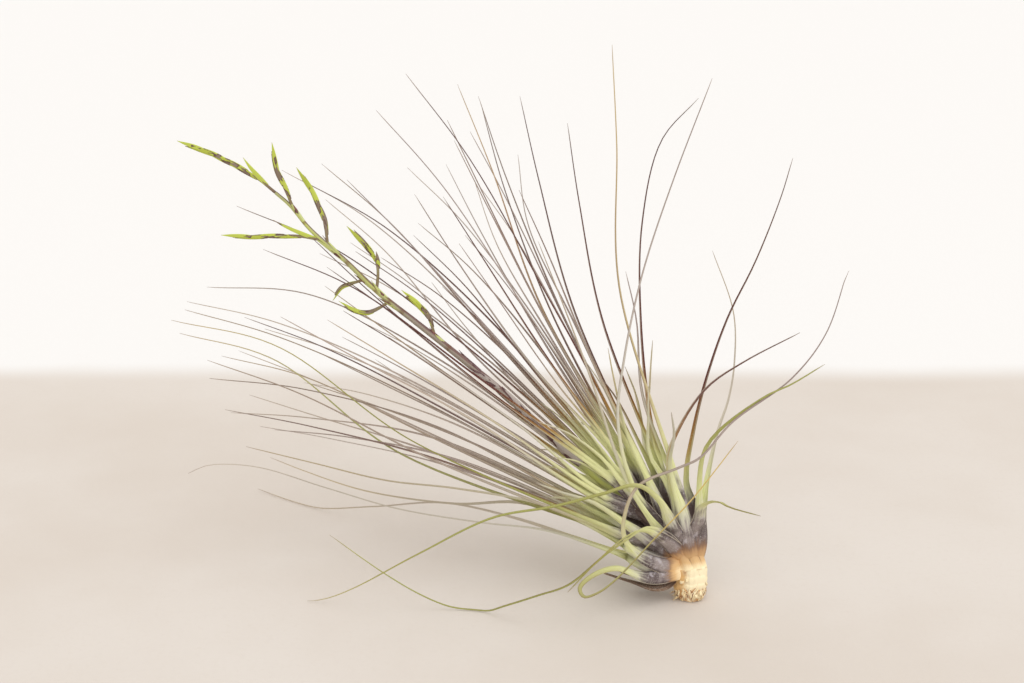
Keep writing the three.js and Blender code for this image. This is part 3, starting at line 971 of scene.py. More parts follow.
@dataclass(frozen=True)
class StemFinish:
    """The woody stub: bright cream, tan to the left, with a torn brown and cream end."""

    cream: Colour = (255, 242, 204)
    tan: Colour = (228, 186, 126)
    brown: Colour = (176, 124, 82)
    knot: Colour = (150, 88, 60)
    pith: Colour = (228, 188, 142)
    purple: Colour = (128, 90, 84)
    blotches: float = 140.0  # lumps of noise in a metre
    flecks: float = 420.0
    grain: float = 1500.0

    def material(self) -> bpy.types.Material:
        """Builds the stem's material."""
        paint = Paint("stem_wood")
        where, cut, groove = paint.place(), *paint.notes("cut", "groove")
        rise, side = paint.notes("rise", "side")
        blotch = paint.noise(where, self.blotches, 4.0, 0.6)
        fibre = paint.noise(paint.vector(paint.note("around") * 60.0, rise * 0.35, cut * 9.0), 1.0, 3.0)
        grain = paint.noise(where, self.grain, 3.0, 0.7)
        fleck = paint.noise(where, self.flecks, 2.0, 0.6)
        warm = blotch * 0.7 - side * 0.4 + rise.step(9.0, 2.0) * 0.1
        torn = paint.layers(
            self.cream,
            (fibre.step(0.4, 0.6), self.pith),
            (fleck.step(0.5, 0.62) * 0.7, self.purple),
            (grain.step(0.52, 0.68) * 0.6, self.brown),
        )
        colour = paint.layers(
            self.cream,
            (warm.step(0.36, 0.62), self.tan),
            (groove * (1.25 - blotch) * 0.7, self.brown),
            (fibre.step(0.56, 0.78) * 0.35, self.brown),
            (paint.note("knot") * 0.85, self.knot),
            (cut * 0.9, torn),
        )
        height = fibre * 0.5 + grain * 0.5
        return paint.finish(colour, 0.7 + grain * 0.2, height, depth=0.3, specular=0.25)


@dataclass(frozen=True)
class FibreFinish:
    """Torn strands at the cut end and the rims: cream to brown."""

    cream: Colour = (250, 232, 190)
    tan: Colour = (222, 172, 112)
    brown: Colour = (138, 88, 64)
    purple: Colour = (104, 70, 76)
    specks: float = 900.0  # lumps of noise in a metre

    def material(self) -> bpy.types.Material:
        """Builds the strands' material."""
        paint = Paint("torn_fibre")
        luck, along = paint.notes("luck", "along")
        speck = paint.noise(paint.place(), self.specks, 3.0)
        colour = paint.ramp(luck + (speck - 0.5) * 0.5, [
            (0.0, self.cream), (0.5, self.cream), (0.68, self.tan), (0.86, self.brown), (1.0, self.purple),
        ])
        colour = paint.blend(along.step(0.5, 1.0) * 0.3, colour, self.brown)
        return paint.finish(colour, 0.7 + speck * 0.2, speck, depth=0.15, specular=0.3)


@dataclass(frozen=True)
class ScapeFinish:
    """The flower stalk: green in the rosette, then purple-grey, grey-green above, dark on top."""

    green: Colour = (168, 168, 122)
    lime: Colour = (194, 198, 108)
    grey: Colour = (152, 138, 130)
    purple: Colour = (106, 70, 70)
    node: Colour = (112, 76, 50)
    streaks: float = 2.2  # the radius, in lumps of noise, that the streaks are read round
    scales: float = 1800.0  # lumps of noise in a metre

    def material(self) -> bpy.types.Material:
        """Builds the stalk's material."""
        paint = Paint("scape_skin")
        along, topside, joint = paint.notes("along", "topside", "joint")
        angle = paint.note("around") * math.tau
        ring = paint.vector(along * 9.0, angle.sine() * self.streaks, angle.cosine() * self.streaks)
        streak = paint.noise(ring, 1.0, 3.0, 0.6)
        scales = paint.noise(paint.place(), self.scales, 2.0, 0.7)
        low = (along + (streak - 0.5) * 0.15).step(0.73, 0.62) * along.step(0.14, 0.24)
        dark = (streak * 0.7 + topside * 0.6 + low * 0.15).step(0.55, 0.72)
        colour = paint.layers(
            self.green,
            (streak.step(0.42, 0.58), self.lime),
            (low * 0.9, self.grey),
            (dark * 0.8, self.purple),
            (joint * 0.75, self.node),
        )
        height = streak * 0.6 + scales * 0.4
        return paint.finish(colour, 0.5 + scales * 0.25, height, depth=0.18, specular=0.35)


@dataclass(frozen=True)
class BractFinish:
    """A bract's skin, with dark patches on its rim and, low in a spike, all over it.

    Attributes:
        name: The name of the material.
        body: The colour of most of it.
        pale: The colour along its keel, painted there as a highlight.
        patch: The colour of its grey-purple patches.
        outline: The dark colour round them.
        tip: The colour of its point.
        scales: Lumps of noise in a metre.
    """

    name: str
    body: Colour
    pale: Colour
    patch: Colour
    outline: Colour
    tip: Colour
    scales: float = 1600.0

    def material(self) -> bpy.types.Material:
        """Builds the bract's material."""
        paint = Paint(self.name)
        along, across, luck, hollow, dusk = paint.notes("along", "across", "luck", "hollow", "dusk")
        patches = paint.noise(paint.vector(along * 2.4, across * 0.9 + hollow, luck * 80.0), 1.0)
        veins = paint.noise(paint.vector(along * 2.0, across * 14.0 + hollow * 20.0, luck * 40.0), 1.0)
        scales = paint.noise(paint.place(), self.scales, 2.0, 0.6)
        rim = abs(across).step(0.35, 0.9) * along.step(0.3, 0.7) + along.step(0.84, 0.97)
        amount = dusk * (rim * 0.45 + 0.5) + (patches - 0.5) * 1.9
        colour = paint.layers(
            self.body,
            # painted highlight: paler along the keel
            (abs(across).step(0.5, 0.05) * 0.7, self.pale),
            (veins.step(0.5, 0.75) * 0.22, self.patch),
            (amount.step(0.3, 0.38), self.outline),
            (amount.step(0.4, 0.55) * 0.85, self.patch),
            (along.step(0.93, 1.0) * 0.5, self.tip),
            (hollow * 0.35, self.outline),
        )
        height = veins * 0.6 + scales * 0.4
        return paint.finish(colour, 0.42 + scales * 0.22, height, depth=0.14, specular=0.45)


@dataclass(frozen=True)
class FloorFinish:
    """A pale plaster floor that turns white far behind the plant."""

    near: Colour = (218, 210, 202)
    patch: Colour = (211, 201, 191)
    far: Colour = (236, 234, 232)
    fade: tuple[float, float] = (0.375, 0.425)  # metres behind the plant
    clouds: float = 3.0  # lumps of noise in a metre
    grain: float = 260.0

    def material(self) -> bpy.types.Material:
        """Builds the floor's material."""
        paint = Paint("pale_plaster")
        where = paint.place()
        behind = paint.node("ShaderNodeSeparateXYZ", None, {0: where}, "Y")
        cloud = paint.noise(where, self.clouds, 4.0, 0.6)
        grain = paint.noise(where, self.grain, 3.0, 0.6)
        colour = paint.layers(
            self.near,
            (cloud.step(0.35, 0.7), self.patch),
            (grain.step(0.5, 0.75) * 0.25, self.patch),
            ((behind + (cloud - 0.5) * 0.05).step(*self.fade), self.far),
        )
        return paint.finish(colour, 0.75 + grain * 0.2, grain, depth=0.15, specular=0.1)


# each bract's pale colour is its painted highlight along the keel
GREEN_BRACT = BractFinish(
    name="floral_bract", body=(178, 188, 66), pale=(210, 220, 98),
    patch=(134, 116, 98), outline=(88, 60, 46), tip=(186, 160, 96),
)
AXIL_BRACT = BractFinish(
    name="axil_bract", body=(184, 190, 112), pale=(204, 210, 150),
    patch=(126, 74, 66), outline=(88, 52, 46), tip=(196, 160, 104),
)
STALK_BRACT = BractFinish(
    name="scape_bract", body=(164, 152, 144), pale=(182, 171, 162),
    patch=(112, 82, 82), outline=(78, 42, 44), tip=(122, 86, 76),
)


# ------------------------------------------------------------------ stem


@dataclass
class Stem:
    """The woody stub under the leaves, with a slanted, fibrous cut end."""

    radius: float = 9.6
    foot: float = 8.6  # radius at the cut end
    top: float = 17.0  # how far up the stub reaches along the fan
    widens_by: float = 0.8  # the part of the stub over which it widens
    ring: float = 0.4  # height of the rims where old leaves came off
    ring_above: float = 0.25  # their height at the stub's top against those at its cut
    rings: int = 6
    ring_waves: tuple[Point, ...] = ((0.16, 2, 1.0), (0.1, 5, 3.0), (0.05, 11, 0.0))  # size, waves, start
    rim_peak: float = 0.82  # the part of the way between two grooves where a rim is highest
    rim_curve: float = 1.6
    groove_fades: tuple[float, float] = (4.0, 11.0)  # the height over which the grooves get paler
    worn: float = 0.36  # how much of its radius the stub loses at the cut
    worn_length: float = 3.2
    torn: tuple[float, float] = (2.0, 6.0)  # how far above the cut the wall is torn
    knot: Point = (-4.0, 15.0)  # a brown scar on the front
    knot_size: float = 1.1
    sides: int = 96
    rows: int = 70
    fine_rows: int = 400  # by which the wall above the cut is found
    cut_rows: int = 20
    cut_tilt: float = math.radians(38)  # slope of the cut end, which faces the front
    cut_start: float = -5.5
    cut_grain: float = 1.0  # how far the cut's bundles stand out
    above_cut: tuple[float, float] = (0.25, 0.75)  # how far above the cut the wall's sides start
    strand_rest: float = 0.2  # how high a strand's line lies on the surface
    strands: int = 170
    whiskers: int = 14  # loose fibres at the cut's left edge
    rim_flakes: int = 16
    axis: tuple[Point, ...] = ((0, -9), (0, 6), (-1, 20), (-8, 33), (-20, 44), (-34, 55))

    def __post_init__(self) -> None:
        """Draws the axis, which bends to the left and runs on into the scape."""
        self.line = Line([place(p) for p in self.axis])
        self.end = self.distance_at(self.top)
        self.starts = self._starts()
        self.strand_parts = np.linspace(-0.2, 1, 6)  # its root lies a little inside the wall

    def distance_at(self, up: float) -> float:
        """How far along the axis it has risen this far up the fan."""
        steps = np.linspace(0, self.line.length, 2000)
        return float(steps[np.argmax(self.line.at(steps) @ UP >= up)])

    def floor_at(self, places: Array) -> Array:
        """The height of the surface or of the slanted cut under each place."""
        slope = (self.cut_start - places[..., 1]) * math.tan(self.cut_tilt)
        return np.maximum(slope, 0.0)

    def _starts(self) -> Array:
        """How far along the axis each side's wall starts, a little above the cut."""
        rows = np.linspace(0, self.end, self.fine_rows)
        rings, _ = self._skin(rows)
        buried = rings[..., 2] <= self.floor_at(rings)
        lowest = [rows[np.flatnonzero(buried[:, j]).max(initial=0)] for j in range(self.sides)]
        return np.array(lowest) + [drawn(*self.above_cut, j, Draw.CUT_START) for j in range(self.sides)]

    def _wear(self, above: float | Array) -> float | Array:
        """The part of its radius that the wall has lost this far above its start."""
        return self.worn * np.exp(-above / self.worn_length)

    def _width(self, part: float | Array) -> float | Array:
        """The radius this part of the way from the foot to the top, without the rims."""
        return mix(self.foot, self.radius, smooth(0, self.widens_by, part))

    def _on_wall(self, side: float, above: float) -> tuple[Array, Array, Array]:
        """A place on the wall.

        Args:
            side: Which of its sides, or between which two.
            above: How far above the side's start.

        Returns:
            The place, the way out of the wall there, and the way up along the stub.
        """
        level = self.starts[round(side) % self.sides] + above
        frames = Frames.along(self.line.at(np.array([level - 1, level])))
        turn = 2 * math.pi * side / self.sides
        out = math.cos(turn) * frames.side[1] - math.sin(turn) * frames.normal[1]
        radius = self._width(level / self.end) * (1 - self._wear(above))
        return frames.at[1] + out * radius, out, self.line.toward(level)

    def _skin(self, rows: Array) -> tuple[Array, Array]:
        """The stub's wall before it is cut.

        Args:
            rows: Distances along the axis.

        Returns:
            The rings there, and how deep in a groove each corner lies, 0 to 1.
        """
        part = rows / self.end
        turn = turns(self.sides)
        wobble = sum(size * np.sin(waves * turn + start) for size, waves, start in self.ring_waves)
        saw = (part[:, None] * self.rings + wobble[None]) % 1.0
        peak = self.rim_peak
        rim = np.where(saw > peak, (1 - saw) / (1 - peak), (saw / peak) ** self.rim_curve)
        fibre = 0.1 * np.sin(23 * turn + 2 * np.sin(3 * turn)) + 0.07 * np.sin(41 * turn + 1.3)
        ring = self.ring * mix(1.0, self.ring_above, smooth(0.25, 0.75, part))
        radius = self._width(part)[:, None] + ring[:, None] * (2 * rim - 1) + fibre[None]
        return rod(Frames.along(self.line.at(rows)), radius, self.sides), 1 - rim

    def _cut_face(self, rim: Array) -> Array:
        """The rough face of the cut, with fibres in bundles.

        Args:
            rim: The wall's lowest ring.

        Returns:
            The face's rings, from its middle out to the rim.
        """
        centre = np.array([0.0, self.cut_start, 0.0])
        face = centre + (rim - centre) * np.linspace(0.05, 0.985, self.cut_rows)[:, None, None]
        cells = list(np.ndindex(self.cut_rows, self.sides))
        bundles = np.array([chance(j // 5 + 31 * (i // 3), Draw.CUT_BUNDLE) for i, j in cells])
        grain = np.array([chance(j + 97 * i, Draw.CUT_GRAIN) for i, j in cells])
        stand = self.cut_grain * (0.9 * bundles + 0.5 * grain - 0.9).reshape(*face.shape[:2], 1)
        sloped = (face[..., 1] < self.cut_start - GAP)[..., None]
        outward = np.array([0.0, -math.sin(self.cut_tilt), -math.cos(self.cut_tilt)])
        face = lifted(face + outward * np.where(sloped, stand, 0.0))
        face[0] = face[0].mean(0) + (face[0] - face[0].mean(0)) * 0.5
        return face

    def wall(self) -> Strip:
        """The stub itself: its wall down to the cut, and the rough face of the cut."""
        shares = np.linspace(0, 1, self.rows)[:, None]
        distance = self.starts + (self.end - self.starts) * shares
        above = distance - self.starts
        wall, grooves = self._at_each(distance)
        wall = lifted(wall + (self.line.at(distance) - wall) * self._wear(above)[..., None])
        rings = np.concatenate([self._cut_face(wall[0]), wall])
        torn_to = np.array([drawn(*self.torn, j // 4, Draw.TORN_TO) for j in range(self.sides)])
        on_face = np.ones((self.cut_rows, self.sides))
        groove = np.concatenate([0 * on_face, grooves])
        scar = place(self.knot) - BACK * self.radius
        notes = {
            "cut": np.concatenate([on_face, 1 - smooth(-1.0, 1.0, above - torn_to)]),
            "groove": groove * mix(1.0, self.ring_above, smooth(*self.groove_fades, rings[..., 2])),
            "rise": rings[..., 2],
            "side": rings[..., 0] / self.radius,
            "around": ring_shares(self.sides),
            "knot": np.exp(-((np.linalg.norm(rings - scar, axis=2) / self.knot_size) ** 2)),
        }
        return Strip(rings, notes)

    def _at_each(self, distance: Array) -> tuple[Array, Array]:
        """The wall where each side has its own row distances.

        Args:
            distance: Distances along the axis, rows x sides.

        Returns:
            The places of the corners, and how deep in a groove each lies.
        """
        rows = np.linspace(0, self.end, self.fine_rows)
        rings, grooves = self._skin(rows)
        known = np.concatenate([rings, grooves[..., None]], axis=2)
        found = np.empty((*distance.shape, 4))
        for j, k in np.ndindex(self.sides, 4):
            found[:, j, k] = np.interp(distance[:, j], rows, known[:, j, k])
        return found[..., :3], found[..., 3]

    def _splinter(self, points: Array, face: Array, width: float, thick: float, luck: float) -> Strip:
        """A thin torn strand that lies above the floor.

        Args:
            points: Places along its middle.
            face: The way its flat side faces.
            width: Its width.
            thick: Its thickness.
            luck: What its colour is drawn by, from 0 to 1.

        Returns:
            The strand's strip.
        """
        t = np.linspace(0, 1, len(points))
        half = np.sqrt(np.clip(1 - t**3, 0.02, 1))[:, None] / 2
        turn = turns(6)
        frames = Frames.along(lifted(points, self.strand_rest), face)
        rings = frames.rings(width * half * np.cos(turn), thick * half * np.sin(turn))
        return Strip(lifted(rings, 0.02 + 0.01 * np.sin(turn)), {"along": t[:, None], "luck": luck})

    def _strand(self, i: int) -> Strip:
        """A strand that lies along the torn wall and may reach past the cut."""
        side = self.sides * chance(i, Draw.STRAND_SIDE)
        above = self.torn[1] * chance(i, Draw.STRAND_ABOVE)
        reach = min(drawn(1.6, 5.0, i, Draw.STRAND_REACH), 1.0 + above)
        drift, lift = drawn(-4.0, 4.0, i, Draw.STRAND_DRIFT), drawn(0.1, 1.1, i, Draw.STRAND_LIFT)
        parts = self.strand_parts
        spots = [self._on_wall(side + drift * part, above - reach * part) for part in parts]
        points = [foot + out * lift * part for (foot, out, _), part in zip(spots, parts, strict=True)]
        width, luck = drawn(0.35, 1.1, i, Draw.STRAND_WIDTH), chance(i, Draw.STRAND_LUCK)
        return self._splinter(np.array(points), spots[0][1], width, 0.35, luck)

    def _whisker(self, i: int) -> Strip:
        """A loose fibre that stands out of the cut's left edge."""
        side = round(self.sides * drawn(0.44, 0.62, i, Draw.WHISKER_SIDE))
        foot, out, along = self._on_wall(side, drawn(0.5, 3.0, i, Draw.WHISKER_ABOVE))
        way = out - along * drawn(-0.2, 0.4, i, Draw.WHISKER_BEND)
        t = self.strand_parts[:, None]
        points = foot + way * drawn(2.0, 4.5, i, Draw.WHISKER_LENGTH) * t - along * t**2
        return self._splinter(points, along, 0.4, 0.3, 0.7 * chance(i, Draw.WHISKER_LUCK))

    def _flake(self, i: int) -> Strip:
        """A flake of an old leaf's foot, on a rim."""
        side = round(i * GOLDEN_PART * self.sides) % self.sides
        foot, out, along = self._on_wall(side, drawn(0.1, 0.65, i, Draw.FLAKE_LEVEL) * self.end)
        length, lift = drawn(1.2, 2.8, i, Draw.FLAKE_LENGTH), drawn(0.25, 0.7, i, Draw.FLAKE_LIFT)
        t = self.strand_parts[:, None]
        points = foot - out * 0.1 - along * length * t + out * lift * t
        return self._splinter(points, out, drawn(1.4, 3.4, i, Draw.FLAKE_WIDTH), 0.3,
                              0.5 * chance(i, Draw.FLAKE_LUCK))

    def splinters(self) -> list[Strip]:
        """Torn strands and whiskers round the cut, and flakes of old leaf feet on the rims."""
        kinds = (self._strand, self.strands), (self._whisker, self.whiskers), (self._flake, self.rim_flakes)
        return [draw(i) for draw, count in kinds for i in range(count)]

    def build(self) -> None:
        """Makes the stem's two pieces."""
        Piece("stem_wood", "stem", "stem").make([self.wall()], StemFinish().material())
        Piece("stem_fibres", "stem", "stem").make(self.splinters(), FibreFinish().material())


# ------------------------------------------------------------------ leaves


@dataclass(frozen=True)
class Leaf:
    """One leaf, before its section is drawn.

    Attributes:
        line: The line of its midrib.
        face: The way its sheath faces.
        spread: How far it leans out from the rosette's middle, in radians.
        tint: Its colours.
        index: Its number, for what differs from leaf to leaf.
    """

    line: Line
    face: Array
    spread: float
    tint: Tint
    index: int


@dataclass(frozen=True)
class FanGroup:
    """Leaves that spread in the fan, each as a row.

    A row holds the lean of the leaf from the right-hand side in degrees, its reach from
    the rosette's heart, the depth of its tip behind the fan, and how far it bows up from
    a straight line, halfway along and near its tip.
    """

    name: str
    tint: Tint
    rows: tuple[Point, ...]


@dataclass(frozen=True)
class CurledGroup:
    """Leaves that curl or hook, each as the points that its midrib passes through."""

    name: str
    tint: Tint
    leaves: tuple[tuple[Point, ...], ...]


FAN_GROUPS = (
    FanGroup("leaves_left_high", Tint.MAUVE, (
        (151, 232, -22, 1, 0), (153, 289, 60, 25, 24), (154, 258, 38, 4, 5), (156, 304, 105, 14, 12),
        (156, 288, 22, 8, 8),
    )),
    FanGroup("leaves_left_olive", Tint.OLIVE, ((157, 283, -30, -10, 9), (159, 290, 46, -17, 6))),
    FanGroup("leaves_left_low", Tint.MAUVE, (
        (159, 261, 90, -2, 1), (160, 265, 62, 0, 6), (160, 260, -12, -9, 0), (166, 249, 30, 3, 3),
        (167, 252, 74, 15, 9),
    )),
    FanGroup("leaves_by_spike", Tint.MAROON, (
        (130, 208, 22, 3, 4), (132, 175, 18, 2, 3), (133, 279, 64, 4, 6), (136, 276, 36, 17, 14),
        (136, 271, 128, -4, 3), (137, 299, 100, 15, 14),
    )),
    FanGroup("leaves_behind_spike", Tint.MAROON, (
        (138, 225, 30, 7, 6), (142, 227, -14, 1, 2), (143, 291, 14, 15, 14), (145, 260, -18, 10, 11),
        (145, 177, -16, 1, 1), (146, 208, 12, 2, 2),
    )),
    FanGroup("leaves_tall_left", Tint.MAROON, (
        (125, 186, -16, 0, 0), (124, 273, -6, 7, 7), (123, 211, -26, 0, 0), (119, 280, -14, 9, 8),
        (117, 253, 30, -2, -1), (117, 223, 110, -3, -6),
    )),
    FanGroup("leaf_tall_tan", Tint.TAN, ((114, 267, 16, -8, -2),)),
    FanGroup("leaves_tall_right", Tint.MAROON, (
        (112, 260, 44, -3, -3), (112, 255, 60, -8, -6), (109, 228, 120, -3, -9), (107, 251, 36, -7, -4),
        (102, 226, 8, -4, -3),
    )),
    FanGroup("leaf_upright_tan", Tint.TAN, ((95.5, 258, -38, -7, -2),)),
    FanGroup("leaves_upright", Tint.MAROON, ((96, 139, 8, 2, 3), (110, 86, 12, 8, 5))),
)

CURLED_GROUPS = (
    CurledGroup("leaves_low_left", Tint.SILVER, (
        ((-4, 22, -4), (-13, 20, -8), (-25, 24, -8), (-48, 36, -2), (-78, 50, 6), (-129, 59, 16),
         (-169, 63, 23), (-210, 72, 30), (-250, 81, 38)),
        ((-4, 22, 2), (-14, 21, 4), (-37, 30, 8), (-60, 41, 16), (-93, 50, 27), (-130, 48, 41),
         (-182, 53, 63), (-223, 64, 82), (-244, 71, 92)),
        ((-3, 20, -4), (-14, 16, -9), (-32, 22, -4), (-46, 27, 2), (-80, 36, 14), (-116, 39, 25),
         (-163, 45, 40), (-206, 56, 54), (-249, 67, 69), (-280, 67, 80), (-292, 62, 84)),
        ((-3, 20, 3), (-13, 17, 6), (-33, 22, 11), (-64, 31, 26), (-93, 39, 41), (-137, 46, 69),
         (-182, 41, 97), (-228, 38, 127), (-260, 47, 149)),
    )),
    CurledGroup("leaves_tall_middle", Tint.MAROON, (
        ((-14, 36, -7), (-33, 64, -17), (-41, 98, -23), (-38, 132, -29), (-29, 176, -35),
         (-13, 226, -41), (7, 279, -45)),
        ((-9, 36, 5), (-15, 71, 9), (-21, 98, 11), (-26, 150, 14), (-25, 208, 17), (-14, 254, 19),
         (7, 278, 20)),
    )),
    CurledGroup("leaf_right_tall", Tint.MAROON, (
        ((1, 22, 3), (4, 44, 6), (-1, 64, 8), (3, 90, 12), (10, 118, 14), (23, 154, 18), (39, 186, 21),
         (54, 223, 24), (61, 245, 26)),
    )),
    CurledGroup("leaf_right_low", Tint.OLIVE, (
        ((3, 19, -3), (5, 31, -8), (5, 45, -10), (4, 58, -12), (6, 81, -16), (14, 93, -18), (39, 112, -22),
         (52, 118, -23), (70, 129, -24)),
    )),
    CurledGroup("leaves_right_back", Tint.SILVER, (
        ((2, 21, 5), (5, 36, 9), (9, 53, 14), (15, 71, 33), (22, 90, 52), (30, 107, 69), (36, 128, 88),
         (39, 159, 115), (30, 199, 150)),
    )),
    CurledGroup("leaf_right_arched", Tint.MAUVE, (
        ((-2, 19, -4), (-4, 27, -9), (-6, 37, -11), (-8, 48, -11), (-13, 77, -10), (-7, 94, -10),
         (8, 116, -10), (28, 130, -10), (59, 146, -10)),
    )),
    CurledGroup("leaf_loop_right", Tint.MAUVE, (
        ((-3, 20, -4), (-13, 19, -11), (-29, 26, -20), (-37, 35, -26), (-38, 47, -30), (-31, 64, -33),
         (-9, 74, -32), (2, 79, -30), (20, 98, -26), (53, 121, -18), (73, 145, -9), (87, 180, 2)),
    )),
    CurledGroup("leaf_front_broad", Tint.SILVER, (
        ((-3, 20, -4), (-8, 25, -9), (-15, 34, -13), (-21, 42, -14), (-26, 49, -15), (-33, 60, -16),
         (-41, 78, -17), (-55, 120, -20), (-70, 160, -22), (-84, 195, -24)),
    )),
    CurledGroup("leaf_front_golden", Tint.GOLDEN, (
        ((-2, 19, -3), (-12, 15, -10), (-25, 14, -17), (-42, 20, -26), (-55, 17, -33), (-62, 11, -37),
         (-60, 7, -41), (-54, 9, -45), (-45, 16, -50), (-22, 43, -64), (-7, 60, -70), (16, 91, -79)),
    )),
    CurledGroup("leaves_front_curled", Tint.OLIVE, (
        ((-4, 26, -5), (-12, 42, -20), (-20, 57, -31), (-32, 65, -38), (-51, 61, -44), (-77, 55, -50),
         (-108, 49, -48), (-147, 29, -36), (-181, 9, -17), (-196, 2, -9), (-210, -2, -4)),
        ((-4, 21, -4), (-16, 36, -20), (-27, 42, -34), (-38, 37, -44), (-49, 30, -48), (-68, 14, -46),
         (-84, 7, -38), (-101, 0, -27), (-114, -5, -16), (-130, -3, -14), (-147, 4, -16),
         (-167, 16, -18), (-196, 37, -20)),
        ((-4, 22, -4), (-16, 34, -20), (-29, 41, -36), (-41, 37, -46), (-51, 29, -50), (-69, 11, -53)),
        ((-3, 27, -3), (3, 42, -16), (4, 53, -28), (10, 57, -42), (15, 55, -52), (29, 52, -68)),
    )),
    CurledGroup("dry_sheaths", Tint.DRY, (
        ((-6, 17, 0), (-11, 11, -5), (-20, 8, -11), (-35, 12, -16), (-50, 17, -19)),
        ((-3, 19, 4), (-11, 13, 8), (-21, 10, 11), (-38, 13, 13)),
    )),
)


@dataclass(frozen=True)
class FillLeaves:
    """Leaves that fill the fan and its far side, spread evenly by the golden ratio."""

    count: int = 28
    lean: tuple[float, float] = (112, 170)
    depth: tuple[float, float] = (-34, 175)
    reach: tuple[float, float] = (175, 262)
    bow: tuple[float, float] = (-5, 14)
    late_bow: float = 0.8
    seed: int = 41
    groups: int = 4
    warm_from: float = 144  # leaves that lean less than this are maroon, the others mauve

    def rows(self) -> Iterator[Point]:
        """The leaves' rows, as a fan group has them."""
        for i in range(self.count):
            spot = (i * GOLDEN_PART + 0.5 * chance(i, self.seed) / self.count) % 1
            bow = drawn(*self.bow, i, self.seed + 2)
            yield (
                mix(*self.lean, spot),
                drawn(*self.reach, i, self.seed + 1),
                mix(*self.depth, (i + 0.5) / self.count),
                bow,
                self.late_bow * bow,
            )


YOUNG_LEAVES = FillLeaves(
    count=22, lean=(84, 172), depth=(-52, 70), reach=(58, 100), bow=(-3, 9), seed=57, groups=1,
)


